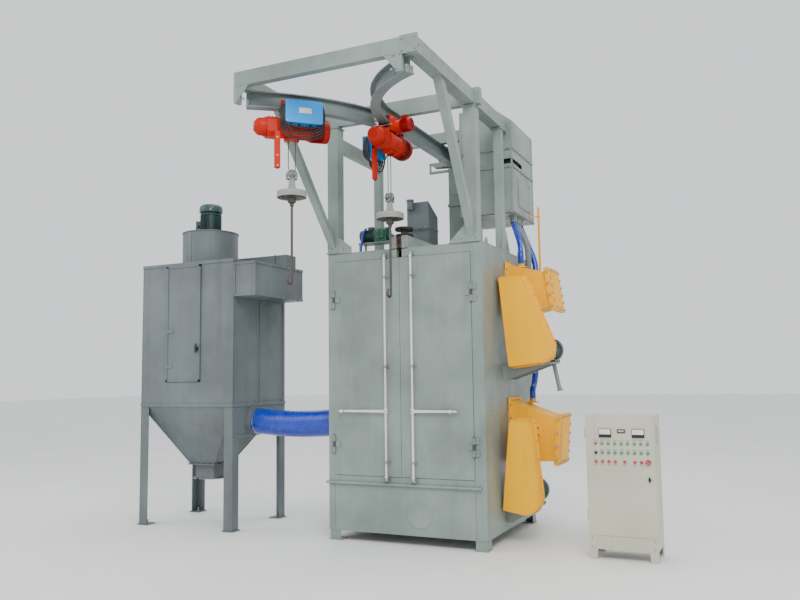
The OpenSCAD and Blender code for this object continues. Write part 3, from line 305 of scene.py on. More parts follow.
def smooth_path(points, steps=8):
    """Catmull-Rom curve through the points."""
    points = [Vector(p) for p in points]
    ends = [points[0] * 2 - points[1]] + points + [points[-1] * 2 - points[-2]]
    path = []
    for i in range(1, len(ends) - 2):
        a, b, c, d = ends[i - 1:i + 3]
        for k in range(steps):
            t = k / steps
            path.append(0.5 * (2 * b + (c - a) * t + (2 * a - 5 * b + 4 * c - d) * t * t
                + (3 * b - a - 3 * c + d) * t ** 3))
    return path + [points[-1]]


class Piece:
    """One mesh made of bevelled boxes, turned shapes, swept tubes and bolts."""

    def __init__(self, name, place=None):
        self.name = name
        self.mesh = bmesh.new()
        self.materials = []
        self.index = 0
        self.place = place or Matrix.Identity(4)

    def use(self, material):
        if material not in self.materials:
            self.materials.append(material)
        self.index = self.materials.index(material)
        return self

    def vert(self, point):
        return self.mesh.verts.new(self.place @ Vector(point))

    def face(self, verts):
        face = self.mesh.faces.new(verts)
        face.material_index = self.index
        face.smooth = True

    def blade(self, root, tip, width, taper):
        """Flat bristle from root to tip; width is half the root's."""
        self.face([self.vert(q) for q in (root - width, root + width, tip + width * taper,
            tip - width * taper)])

    def block(self, centre, x, y, z):
        """Box by its centre and its half sizes along X, Y and Z."""
        self.slab(centre, X * x, Y * y, Z * z)

    def slab(self, centre, u, v, w):
        """Box by its centre and three half-edge vectors."""
        if u.cross(v).dot(w) < 0:
            u, v = v, u
        corners = [self.vert(Vector(centre) + i * u + j * v + k * w) for k in (-1, 1) for j in (-1, 1)
            for i in (-1, 1)]
        for loop in ((0, 2, 3, 1), (4, 5, 7, 6), (0, 1, 5, 4), (2, 6, 7, 3), (0, 4, 6, 2), (1, 3, 7, 5)):
            self.face([corners[i] for i in loop])

    def prism(self, outline, origin, u, v, depth):
        """Outline in the u, v plane, carried along depth."""
        if u.cross(v).dot(depth) < 0:
            outline = list(reversed(outline))
        foot = [self.vert(Vector(origin) + a * u + b * v) for a, b in outline]
        head = [self.vert(Vector(origin) + a * u + b * v + depth) for a, b in outline]
        self.face(list(reversed(foot)))
        self.face(head)
        for i in range(len(foot)):
            j = (i + 1) % len(foot)
            self.face([foot[i], foot[j], head[j], head[i]])

    def lathe(self, start, axis, profile, seg=36):
        """Profile of (distance along axis, radius), turned about the axis."""
        axis = Vector(axis).normalized()
        u, v = across(axis)
        rings = []
        for along, radius in profile:
            centre = Vector(start) + axis * along
            if radius < 1e-6:
                rings.append([self.vert(centre)])
            else:
                rings.append([self.vert(centre + radius * (cos(t) * u + sin(t) * v))
                    for t in (2 * pi * k / seg for k in range(seg))])
        for a, b in zip(rings, rings[1:]):
            for k in range(seg):
                n = (k + 1) % seg
                if len(a) == 1 and len(b) == 1:
                    continue
                if len(a) == 1:
                    self.face([a[0], b[k], b[n]])
                elif len(b) == 1:
                    self.face([a[k], b[0], a[n]])
                else:
                    self.face([a[k], b[k], b[n], a[n]])

    def rod(self, a, b, radius, seg=24, chamfer=0.0015):
        a, b = Vector(a), Vector(b)
        length = (b - a).length
        c = min(chamfer, length / 4, radius / 3)
        self.lathe(a, b - a, [(0, 0), (0, radius - c), (c, radius), (length - c, radius),
            (length, radius - c), (length, 0)], seg)

    def tube(self, points, radius, seg=16, wobble=None):
        """Round bar swept along the points, capped at both ends."""
        points = [Vector(p) for p in points]
        side = across(points[1] - points[0])[0]
        rings = []
        for i, point in enumerate(points):
            along = (points[min(i + 1, len(points) - 1)] - points[max(i - 1, 0)]).normalized()
            side = (side - along * side.dot(along)).normalized()
            other = along.cross(side)
            r = radius * (wobble(i / (len(points) - 1)) if wobble else 1)
            rings.append([self.vert(point + r * (cos(t) * side + sin(t) * other))
                for t in (2 * pi * k / seg for k in range(seg))])
        for a, b in zip(rings, rings[1:]):
            for k in range(seg):
                n = (k + 1) % seg
                self.face([a[k], a[n], b[n], b[k]])
        self.face(list(reversed(rings[0])))
        self.face(rings[-1])

    def ring(self, centre, axis, radius, wire, seg=40):
        """Closed loop of round wire."""
        u, v = across(axis)
        axis = Vector(axis).normalized()
        rings = []
        for k in range(seg):
            t = 2 * pi * k / seg
            out = cos(t) * u + sin(t) * v
            rings.append([self.vert(Vector(centre) + out * (radius + wire * cos(w))
                + axis * wire * sin(w)) for w in (2 * pi * j / 8 for j in range(8))])
        for k in range(seg):
            a, b = rings[k], rings[(k + 1) % seg]
            for j in range(8):
                n = (j + 1) % 8
                self.face([a[j], a[n], b[n], b[j]])

    def bolt(self, point, axis, size=0.009, washer=True, material=None):
        """Zinc hexagon head on a washer; size is half the head's width."""
        point, axis = Vector(point), Vector(axis).normalized()
        before = self.index
        self.use(material or ZINC)
        if washer:
            self.lathe(point, axis, [(0, size * 1.45), (size * 0.22, size * 1.4), (size * 0.24, 0)], 16)
        turn = random.uniform(0, 1)
        u, v = across(axis)
        outline = [(size * 1.12 * cos(turn + k * pi / 3), size * 1.12 * sin(turn + k * pi / 3))
            for k in range(6)]
        self.prism(outline, point + axis * size * 0.2, u, v, axis * size * 0.75)
        self.rod(point + axis * size * 0.9, point + axis * size * 1.35, size * 0.55, 10, 0.0005)
        self.index = before

    def bolts(self, a, b, count, axis, size=0.009):
        """Row of bolts from a to b."""
        for k in range(count):
            self.bolt(Vector(a).lerp(Vector(b), k / (count - 1)), axis, size)

    def bolt_circle(self, centre, radius, count, axis, size, start=0.0, washer=True):
        for k in range(count):
            self.bolt(Vector(centre) + spoke(axis, start + 2 * pi * k / count) * radius, axis, size,
                washer)

    def weld(self, a, b, size=0.004):
        """Uneven weld bead between two points."""
        a, b = Vector(a), Vector(b)
        steps = max(6, int((b - a).length / 0.012))
        shake = [1 + 0.28 * sin(1.9 * k) + random.uniform(-0.14, 0.14) for k in range(steps + 1)]
        self.tube([a.lerp(b, k / steps) for k in range(steps + 1)], size, 6,
            lambda t: shake[min(int(t * steps), steps)])

    def motor(self, a, b, radius, terminal, fins=30, cowl=0.26):
        """Finned motor from its flange at a to its fan cowl at b, with a terminal box towards terminal."""
        a, b = Vector(a), Vector(b)
        axis = (b - a).normalized()
        length = (b - a).length
        body_end = length * (1 - cowl)
        core = radius * 0.86
        self.lathe(a, axis, [(0, 0), (0, radius * 0.93), (length * 0.05, radius * 0.98),
            (length * 0.09, radius * 0.98), (length * 0.11, core), (body_end - length * 0.02, core),
            (body_end, radius * 0.96), (body_end + 0.004, radius * 0.99),
            (length - radius * 0.22, radius * 0.99), (length - radius * 0.08, radius * 0.93),
            (length, radius * 0.74), (length, radius * 0.7), (length - 0.006, radius * 0.66),
            (length - 0.006, 0)], 44)
        u, v = across(axis)
        for k in range(fins):
            t = 2 * pi * (k + 0.5) / fins
            out = cos(t) * u + sin(t) * v
            side = axis.cross(out)
            middle_fin = a + axis * (length * 0.11 + body_end - length * 0.02) / 2 + out * (core
                + radius * 0.055)
            self.slab(middle_fin, axis * (body_end - length * 0.14) / 2, out * radius * 0.075,
                side * radius * 0.014)
        for r in (0.18, 0.32, 0.46, 0.6):
            self.ring(b - axis * 0.004, axis, radius * r, radius * 0.018, 28)
        for k in range(6):
            t = pi * k / 3
            out = cos(t) * u + sin(t) * v
            self.slab(b - axis * 0.005 + out * radius * 0.35, out * radius * 0.32, axis * 0.0025,
                axis.cross(out) * radius * 0.02)
        toward = Vector(terminal).normalized()
        side = axis.cross(toward)
        centre = a + axis * body_end * 0.48 + toward * radius * 1.12
        self.slab(centre, axis * radius * 0.4, side * radius * 0.36, toward * radius * 0.2)
        self.slab(centre + toward * radius * 0.22, axis * radius * 0.43, side * radius * 0.39,
            toward * radius * 0.03)
        for i, j in CORNERS:
            self.bolt(centre + axis * i * radius * 0.36 + side * j * radius * 0.32
                + toward * radius * 0.25, toward, radius * 0.04, False, self.materials[self.index])
        self.rod(centre - axis * radius * 0.1, centre - axis * radius * 0.1 + side * radius * 0.55,
            radius * 0.11, 12)

    def done(self, body, bevel=0.0015, replaces=(), angle=38):
        data = bpy.data.meshes.new(self.name)
        bmesh.ops.recalc_face_normals(self.mesh, faces=self.mesh.faces[:])
        self.mesh.to_mesh(data)
        self.mesh.free()
        data.set_sharp_from_angle(angle=radians(angle))
        for material in self.materials:
            data.materials.append(material)
        piece = bpy.data.objects.new(self.name, data)
        bpy.context.scene.collection.objects.link(piece)
        if bevel:
            soften(piece, bevel)
        if body:
            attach(piece, body)
        if replaces:
            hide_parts(*replaces)
        return piece


def soften(piece, width, segments=2):
    edge = piece.modifiers.new("edge", "BEVEL")
    edge.width = width
    edge.segments = segments
    edge.limit_method = "ANGLE"
    edge.angle_limit = radians(40)
    edge.use_clamp_overlap = True


# ---------------------------------------------------------------- CAD nodes with better surfaces

NODE_PAINT = {"chamber_shell": PAINT, "cabinet_feet": PAINT, "hopper_pan": PAINT, "wear_liners": WORN,
    "floor_grating": STEEL, "roof_slot_channel": PAINT, "door_fittings": PAINT, "overhead_frame": PAINT,
    "monorail_track": RAIL, "elevator_casing": PAINT, "bucket_belt": BLACK, "separator_box": PAINT,
    "wheel_casing_upper": YELLOW, "wheel_casing_lower": YELLOW, "belt_guard_upper": YELLOW,
    "belt_guard_lower": YELLOW, "drive_belts": BLACK, "roof_vent_box": HOUSING, "collector_body": HOUSING,
    "collector_hopper": HOUSING, "filter_cartridges": FILTER, "fan_casing": HOUSING,
    "exhaust_duct": HOUSING, "control_cabinet_body": PANEL, "mounting_plate": COPPER, "door_left": PAINT,
    "door_right": PAINT, "impeller_upper": STEEL, "impeller_lower": STEEL, "motor_pulley_upper": STEEL,
    "motor_pulley_lower": STEEL, "elevator_drum": STEEL, "screw_conveyor": WORN, "fan_impeller": STEEL,
    "collector_door": HOUSING, "ash_valve": STEEL, "control_door": PANEL}
FINE_EDGE = {"control_cabinet_body": 0.001, "control_door": 0.002, "wear_liners": 0,
    "filter_cartridges": 0, "bucket_belt": 0, "drive_belts": 0, "floor_grating": 0.0005,
    "mounting_plate": 0.0005}


def dress_nodes():
    for name, material in NODE_PAINT.items():
        node = frame["nodes"][name]
        node.data.materials.clear()
        node.data.materials.append(material)
        width = FINE_EDGE.get(name, 0.0022)
        if width:
            soften(node, width)


# ---------------------------------------------------------------- doors, lock rods and apron

def lock_rod(side):
    """Turning rod with its hub, tapered lever and knob; side is -1 for the left door."""
    name = "lock_rod_" + SIDE_NAME[side]
    lo, hi = low(name), high(name)
    x, y, lever_z = pivot(name + "_turn")
    far = lo.x if side < 0 else hi.x
    p = Piece(name + "_detail")
    p.use(CREAM)
    p.rod((x, y, lo.z), (x, y, hi.z), 0.0112, 28)
    p.lathe((x, y, lever_z - 0.028), Z, [(0, 0.012), (0.001, 0.018), (0.006, 0.0195), (0.05, 0.0195),
        (0.055, 0.018), (0.056, 0.012)], 28)
    u = X * side
    length = abs(far - x)
    p.prism([(0.006, -0.014), (length - 0.03, -0.01), (length - 0.008, -0.007), (length, 0),
        (length - 0.008, 0.007), (length - 0.03, 0.01), (0.006, 0.014)], (x, y - 0.008, lever_z), u, Z,
        Y * 0.012)
    for z in (lo.z + 0.03, hi.z - 0.05):
        p.lathe((x, y, z), Z, [(0, 0.011), (0.001, 0.017), (0.018, 0.017), (0.019, 0.011)], 20)
    knob = Vector((x, y - 0.008, lever_z)) + u * (length - 0.06)
    p.use(ZINC).rod(knob, knob - Y * 0.028, 0.007, 16)
    p.bolt((x, y - 0.0195, lever_z), -Y, 0.006)
    p.use(WHITE)
    p.lathe(knob - Y * 0.024, -Y, [(0, 0), (0, 0.011), (0.006, 0.016), (0.016, 0.0185), (0.026, 0.016),
        (0.031, 0.009), (0.032, 0)], 28)
    p.done(name, 0.0008, (name,))


def door_details(side):
    door = "door_" + SIDE_NAME[side]
    rod = pivot("lock_rod_" + SIDE_NAME[side] + "_turn")
    lo, hi = low(door), high(door)
    face = high("door_left").y - 0.04
    p = Piece(door + "_fittings")
    p.use(PAINT)
    for z in (0.83, 1.81, 2.75):
        p.block((rod[0], face - 0.003, z), 0.042, 0.003, 0.017)
        for k in (-1, 1):
            p.bolt((rod[0] + k * 0.033, face - 0.006, z), -Y, 0.0055)
    free = hi.x - 0.02 if side < 0 else lo.x + 0.02
    hinge_x = pivot(door + "_hinge")[0]
    for z in HINGE_Z:
        for k in (-1, 1):
            p.weld((hinge_x - side * 0.01, face - 0.002, z + k * 0.031),
                (hinge_x - side * 0.068, face - 0.002, z + k * 0.031), 0.0032)
        p.use(WORN).rod((hinge_x, HINGE_Y, z - 0.0305), (hinge_x, HINGE_Y, z + 0.0305), 0.0134, 20)
        p.use(PAINT)
    p.use(BLACK)
    p.block((free - side * 0.006, hi.y - 0.002, (lo.z + hi.z) / 2), 0.01, 0.004, (hi.z - lo.z) / 2 - 0.02)
    p.done(door, 0.0008)


def chamber_details():
    lo, hi = low("chamber_shell"), high("chamber_shell")
    front = lo.y
    p = Piece("chamber_details")
    p.use(PAINT)
    # blank round emboss on the apron
    centre = Vector((0.165, front, 0.32))
    p.lathe(centre, -Y, [(0, 0.15), (0.004, 0.148), (0.007, 0.143), (0.007, 0.135), (0.004, 0.131),
        (0.004, 0.045), (0.006, 0.043), (0.006, 0)], 64)
    # weld beads where the apron, sill and jambs meet, and lock-rod keepers' bolts
    p.weld((lo.x + 0.08, front - 0.001, 0.6005), (hi.x - 0.12, front - 0.001, 0.6005), 0.0032)
    for x in (-0.812, 0.772):
        p.weld((x, front - 0.001, 0.12), (x, front - 0.001, 0.59), 0.0026)
    for rod in ("lock_rod_left_turn", "lock_rod_right_turn"):
        x = pivot(rod)[0]
        for z in (0.65, 2.985):
            for k in (-1, 1):
                p.bolt((x + k * 0.0285, front - 0.0065, z), -Y, 0.0048)
    for x, outward in ((-0.808, -1), (0.768, 1)):
        for z in HINGE_Z:
            for k in (-1, 1):
                for dz in (-0.018, 0.018):
                    p.bolt((x + outward * 0.038, front - 0.012, z + k * 0.062 + dz), -Y, 0.006)
                p.use(WORN).lathe((x, HINGE_Y, z + k * 0.093), Z * k, [(0, 0.014), (0.003, 0.0135),
                    (0.006, 0.009), (0.007, 0)], 20)
    p.use(PAINT)
    # folded rim round the roof, corner post seams and lifting lugs
    p.block((hi.x - 0.03, 0, hi.z + 0.006), 0.028, hi.y - 0.002, 0.005)
    for y in (-0.55, 0.62):
        p.prism([(-0.05, 0), (0.05, 0), (0.03, 0.07), (0.012, 0.085), (-0.012, 0.085), (-0.03, 0.07)],
            (hi.x - 0.05, y, hi.z + 0.01), Y, Z, -X * 0.012)
    for z in (0.9, 1.31, 2.41, 2.83):
        p.block((hi.x + 0.004, 0.095, z), 0.004, 0.23, 0.018)
        p.bolts((hi.x + 0.008, -0.1, z), (hi.x + 0.008, 0.29, z), 5, X, 0.0075)
    for y in (-0.1, 0.29):
        for z0, z1 in ((0.9, 1.31), (2.41, 2.83)):
            p.block((hi.x + 0.004, y + (0.02 if y > 0 else -0.02), (z0 + z1) / 2), 0.004, 0.016,
                (z1 - z0) / 2)
    p.done("machine", 0.0012)


def roof_brush():
    """Two facing rows of bristles that close the roof slot."""
    lo, hi = low("roof_slot_channel"), high("roof_slot_channel")
    centre = (lo.x + hi.x) / 2
    p = Piece("roof_brush_seal")
    p.use(BRUSH)
    for side in (-1, 1):
        p.block((centre + side * 0.034, (lo.y + hi.y) / 2, hi.z + 0.004), 0.012, (hi.y - lo.y) / 2, 0.005)
        count = 330
        for k in range(count):
            y = lo.y + 0.004 + (hi.y - lo.y - 0.01) * k / count + random.uniform(-0.001, 0.001)
            root = Vector((centre + side * 0.03, y, hi.z + 0.002 + 0.006 * (k % 3) / 2))
            tip = Vector((centre - side * random.uniform(0.0, 0.006), y + random.uniform(-0.006, 0.006),
                hi.z + random.uniform(0.004, 0.02)))
            p.blade(root, tip, Y * 0.0016, 0.5)
    for z in [lo.z + 0.015 + 0.0045 * k for k in range(int((hi.z - lo.z - 0.02) / 0.0045))]:
        for side in (-1, 1):
            root = Vector((centre + side * 0.03, lo.y - 0.001, z))
            tip = Vector((centre, lo.y - random.uniform(0.001, 0.006), z + random.uniform(-0.004, 0.004)))
            p.blade(root, tip, Z * 0.0022, 0.6)
    for x in (centre - 0.072, centre + 0.072):
        p.bolts((x, lo.y + 0.06, hi.z), (x, hi.y - 0.06, hi.z), 8, Z, 0.006)
        p.bolts((x, lo.y, lo.z + 0.03), (x, lo.y, hi.z - 0.03), 3, -Y, 0.006)
    p.done("machine", 0.0)


# ---------------------------------------------------------------- overhead frame and rail

def frame_details():
    lo = low("overhead_frame")
    roof = high("chamber_shell").z
    p = Piece("frame_details")
    p.use(PAINT)
    # foot plates and weld beads of the posts
    posts = ((-0.885, -0.755, -0.88, -0.75), (0.72, 0.85, -0.88, -0.75), (0.76, 0.85, -0.02, 0.07),
        (-0.885, -0.795, 0.25, 0.34))
    for x0, x1, y0, y1 in posts:
        p.block(((x0 + x1) / 2, (y0 + y1) / 2, roof + 0.006), (x1 - x0) / 2 + 0.014,
            (y1 - y0) / 2 + 0.014, 0.006)
        p.weld((x0, y0, roof + 0.014), (x1, y0, roof + 0.014))
        p.weld((x1, y0, roof + 0.014), (x1, y1, roof + 0.014))
        p.block(((x0 + x1) / 2, (y0 + y1) / 2, 4.466), (x1 - x0) / 2 + 0.012, (y1 - y0) / 2 + 0.012,
            0.007)
    # plates and bolts where members meet
    p.block((0.785, lo.y + 0.006, BEAM_Z), 0.085, 0.008, 0.082)
    for i, j in CORNERS:
        p.bolt((0.785 + i * 0.06, lo.y - 0.002, BEAM_Z + j * 0.055), -Y, 0.01)
    for y in (lo.y + 0.04, -0.83):
        for k in (-1, 1):
            p.bolt((0.851, y + k * 0.028, BEAM_Z), X, 0.009)
    p.bolts((0.6, POST_FRONT_Y, roof + 0.045), (0.83, POST_FRONT_Y, roof + 0.045), 4, -Y, 0.008)
    p.bolts((-0.84, POST_FRONT_Y, roof + 0.045), (-0.62, POST_FRONT_Y, roof + 0.045), 4, -Y, 0.008)
    p.bolts((0.64, -2.361, 4.47), (0.7, -2.361, 4.47), 2, -Y, 0.008)
    p.use(BLACK).lathe((0.8, -0.8895, roof + 0.12), -Y, [(0, 0.024), (0.0006, 0.024), (0.0006, 0)], 28)
    for x, y in ((0.62, -2.355), (-0.985, -2.355)):
        for k in (0, 0.05):
            p.bolt((x + k, y - 0.006, 4.345), -Y, 0.009)
    # end stops and clamp bolts on the rail
    rail_z = low("monorail_track").z
    p.use(PAINT)
    for joint, angle in (("hoist_left_travel", -56.6), ("hoist_right_travel", 246.3)):
        out = spoke(Z, radians(angle))
        along = Z.cross(out)
        stop = Vector((*pivot(joint)[:2], rail_z)) + out * RAIL_RADIUS[joint]
        p.slab(stop + Z * 0.045, out * 0.046, along * 0.008, Z * 0.03)
        for k in (-1, 1):
            p.bolt(stop + Z * 0.05 + along * 0.009 + out * 0.03 * k, along, 0.008)
    for joint, angles in (("hoist_left_travel", (-52, -50.4, -30, -28.4)),
            ("hoist_right_travel", (190, 192.4, 225, 227.4))):
        for angle in angles:
            for k in (-1, 1):
                out = spoke(Z, radians(angle)) * (RAIL_RADIUS[joint] + k * 0.034)
                p.bolt(Vector((*pivot(joint)[:2], rail_z + 0.16)) + out, Z, 0.009)
    p.done("machine", 0.0012)


# ---------------------------------------------------------------- hoists and hooks

def hoist_place(side):
    """Frame of a hoist: origin at the rail's underside, X along the rail."""
    hook = pivot("hook_" + SIDE_NAME[side] + "_turn")
    travel = pivot("hoist_" + SIDE_NAME[side] + "_travel")
    angle = atan2(hook[1] - travel[1], hook[0] - travel[0]) + side * -pi / 2
    return Matrix.Translation((hook[0], hook[1], low("monorail_track").z)) @ Matrix.Rotation(angle, 4,
        "Z")


DRUM_Z = -0.185
SWITCH_BOX = {-1: ((-0.105, 0.255), (DRUM_Z, DRUM_Z + 0.22)),
    1: ((-0.15, 0.17), (DRUM_Z - 0.135, DRUM_Z + 0.06))}


def drum_and_gearbox(p):
    p.use(ORANGE)
    p.lathe((-0.15, 0, DRUM_Z), X, [(0, 0), (0, 0.105), (0.012, 0.105), (0.014, 0.099), (0.1, 0.099),
        (0.102, 0.102), (0.115, 0.102), (0.117, 0.099), (0.3, 0.099), (0.302, 0.105), (0.32, 0.105),
        (0.32, 0)], 44)
    outline = [(-0.088, -0.06), (-0.05, -0.1), (0.05, -0.1), (0.088, -0.06), (0.088, 0.055),
        (0.05, 0.095), (-0.05, 0.095), (-0.088, 0.055)]
    p.prism(outline, (-0.258, 0, DRUM_Z), Y, Z, X * 0.104)
    p.lathe((-0.262, 0, DRUM_Z), -X, [(0, 0), (0, 0.095), (0.016, 0.095), (0.018, 0.088), (0.06, 0.086),
        (0.085, 0.074), (0.1, 0.052), (0.109, 0.05), (0.11, 0)], 40)
    p.bolt_circle((-0.28, 0, DRUM_Z), 0.08, 6, -X, 0.006, 0.3, False)
    for k in range(3):
        p.block((-0.205 + 0.03 * k - 0.02, 0, DRUM_Z + 0.097), 0.004, 0.045, 0.006)
    # rope guide under the DRUM_Z
    p.block((0, 0, DRUM_Z - 0.106), 0.075, 0.046, 0.007)
    for k in (-1, 1):
        p.block((k * 0.06, 0, DRUM_Z - 0.118), 0.005, 0.04, 0.014)


def trolley(p, s):
    """Plates, wheels and travel drive; the drive is on the side opposite to s."""
    for k in (-1, 1):
        p.prism([(-0.12, 0.08), (0.12, 0.08), (0.12, 0.01), (0.085, -0.06), (-0.085, -0.06),
            (-0.12, 0.01)], (0, k * 0.059, 0), X, Z, Y * k * 0.01)
    p.block((0, 0, -0.07), 0.115, 0.069, 0.009)
    for x in (-0.1, 0.1):
        for k in (-1, 1):
            p.bolt((x, k * 0.045, -0.079), -Z, 0.007)
        p.use(ZINC).rod((x, -0.086, -0.03), (x, 0.086, -0.03), 0.008, 14)
        for k in (-1, 1):
            p.bolt((x, k * 0.07, -0.03), Y * k, 0.011)
    p.use(WORN)
    for x in (-0.072, 0.072):
        for k in (-1, 1):
            p.lathe((x, k * 0.014, 0.048), Y * k, [(0, 0), (0, 0.03), (0.002, 0.0325), (0.021, 0.0335),
                (0.023, 0.0338), (0.028, 0.0338), (0.029, 0.016), (0.044, 0.015), (0.044, 0)], 32)
            p.bolt((x, k * 0.07, 0.048), Y * k, 0.012)
    # travel drive beside the trolley
    p.use(ORANGE)
    p.lathe((0.02, -s * 0.07, -0.02), -Y * s, [(0, 0), (0, 0.062), (0.015, 0.062), (0.018, 0.056),
        (0.055, 0.056), (0.06, 0.066), (0.07, 0.066), (0.07, 0)], 36)
    p.use(DARKRED)
    p.motor((0.02, -s * 0.14, -0.02), (0.02, -s * 0.259, -0.02), 0.074, Z, 26, 0.3)


def switch_box(p, s):
    """Box on side s with its lid, screws, blank plate and cable loops."""
    box_x, box_z = SWITCH_BOX[s]
    p.use(BOXBLUE)
    y0, y1 = s * 0.125, s * 0.235
    xc, hx = sum(box_x) / 2, (box_x[1] - box_x[0]) / 2
    zc, hz = sum(box_z) / 2, (box_z[1] - box_z[0]) / 2
    corner = 0.018
    rounded = []
    for i, j in ((1, 1), (-1, 1), (-1, -1), (1, -1)):
        for k in range(7):
            t = radians(15 * (k if i == j else 6 - k))
            rounded.append((i * (hx - corner + corner * cos(t)), j * (hz - corner + corner * sin(t))))
    p.prism(rounded, (xc, y0, zc), X, Z, Y * (y1 - y0 - s * 0.014))
    p.prism([(a * 1.012, b * 1.012) for a, b in rounded], (xc, y1 - s * 0.013, zc), X, Z, Y * s * 0.012)
    p.use(PLATE).block((xc + 0.01, y1 + s * 0.0002, zc + 0.01), 0.06, 0.0008, 0.026)
    for i, j in CORNERS:
        p.bolt((xc + i * (hx - 0.018), y1 - s * 0.001, zc + j * (hz - 0.018)), Y * s, 0.005, False)
    p.use(DARK)
    p.block((xc, s * 0.11, DRUM_Z + 0.025), hx - 0.03, 0.018, 0.015)
    for x in (-0.12, -0.04, 0.07):
        p.lathe((xc + x, s * 0.18, box_z[0]), -Z, [(0, 0.013), (0.006, 0.013), (0.008, 0.01),
            (0.022, 0.01), (0.024, 0.005), (0.024, 0)], 14)
    # cables that loop round the box and hang under it
    for k in range(5):
        rx, rz = hx + 0.008 + 0.007 * k, hz + 0.006 + 0.011 * k
        turn = [(xc + rx * copysign(abs(cos(t)) ** 0.6, cos(t)) + 0.006 * sin(3 * t + k),
            s * (0.215 - 0.014 * k + 0.01 * sin(2 * t + k)),
            zc - 0.01 * k + rz * copysign(abs(sin(t)) ** 0.7, sin(t)) * (1.32 if sin(t) < 0 else 0.98))
            for t in (2 * pi * n / 28 for n in range(28))]
        p.tube(smooth_path(turn + turn[:1], 2), 0.008, 8)
    p.tube(smooth_path([(xc - 0.04, s * 0.18, box_z[0] - 0.02), (xc - 0.02, s * 0.15, box_z[0] - 0.05),
        (xc + 0.08, s * 0.1, min(box_z[0] - 0.03, -0.05)), (0.24, s * 0.08, DRUM_Z + 0.11),
        (0.27, 0.0, DRUM_Z + 0.15)], 6), 0.006, 10)


def hoist(side):
    name = "hoist_" + SIDE_NAME[side]
    s = side
    p = Piece(name + "_detail", hoist_place(side))
    drum_and_gearbox(p)
    trolley(p, s)
    p.motor((0.171, 0, DRUM_Z), (0.372, 0, DRUM_Z), 0.117, Z, 34, 0.34)
    switch_box(p, s)
    # upright limit-switch bar beside the ropes
    p.use(ORANGE)
    p.block((-0.16, s * 0.09, DRUM_Z - 0.24), 0.028, 0.017, 0.18)
    p.block((-0.16, s * 0.06, DRUM_Z - 0.085), 0.028, 0.045, 0.012)
    for dz in (-0.4, -0.3, -0.12):
        p.bolt((-0.16, s * 0.107, DRUM_Z + dz), Y * s, 0.006)
    p.use(DARK).rod((-0.16, s * 0.09, DRUM_Z - 0.42), (-0.16, s * 0.09, DRUM_Z - 0.428), 0.014, 16)
    p.done(name, 0.0014, (name,))


def ropes(side):
    """Two falls of three-strand rope that stretch between the drum and the block."""
    suffix = SIDE_NAME[side]
    name = "rope_" + suffix
    lo, hi = low(name), high(name)
    p = Piece(name + "_strands", hoist_place(side))
    top = hi.z - low("monorail_track").z
    length = hi.z - lo.z
    p.use(ROPE)
    for fall in (-1, 1):
        for strand in range(3):
            path = []
            steps = int(length / 0.006)
            for k in range(steps + 1):
                t = 2 * pi * (strand / 3 + k * length / steps / 0.052)
                path.append((fall * 0.034 + 0.0025 * cos(t), 0.0025 * sin(t), top - k * length / steps))
            p.tube(path, 0.0027, 7)
    piece = p.done(None, 0.0, (name,))
    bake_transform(piece)


def hook_block(side):
    block = "hook_block_" + SIDE_NAME[side]
    disc = pivot("hook_" + SIDE_NAME[side] + "_turn")[2] - low("monorail_track").z
    p = Piece(block + "_detail", hoist_place(side))
    p.use(RAIL)
    for k in (-1, 1):
        p.prism([(-0.052, 0.15), (0.052, 0.15), (0.052, 0.215), (0.03, 0.246), (-0.03, 0.246),
            (-0.052, 0.215)], (0, k * 0.02, disc), X, Z, Y * k * 0.006)
    p.block((0, 0, disc + 0.158), 0.05, 0.02, 0.008)
    p.use(STEEL)
    for x in (-0.018, 0.018):
        p.lathe((x - 0.01, 0, disc + 0.2), X, [(0, 0), (0, 0.045), (0.003, 0.045), (0.007, 0.036),
            (0.013, 0.036), (0.017, 0.045), (0.02, 0.045), (0.02, 0)], 36)
    p.use(ZINC)
    p.rod((-0.058, 0, disc + 0.2), (0.058, 0, disc + 0.2), 0.012, 20)
    for k in (-1, 1):
        p.bolt((0.036, k * 0.026, disc + 0.165), Y * k, 0.006)
        p.bolt((-0.036, k * 0.026, disc + 0.165), Y * k, 0.006)
    p.use(PALE)
    p.lathe((0, 0, disc + 0.036), Z, [(0, 0), (0, 0.055), (0.003, 0.056), (0.012, 0.056), (0.024, 0.05),
        (0.03, 0.04), (0.06, 0.033), (0.112, 0.03), (0.114, 0.028), (0.114, 0)], 40)
    p.done(block, 0.001, (block,))


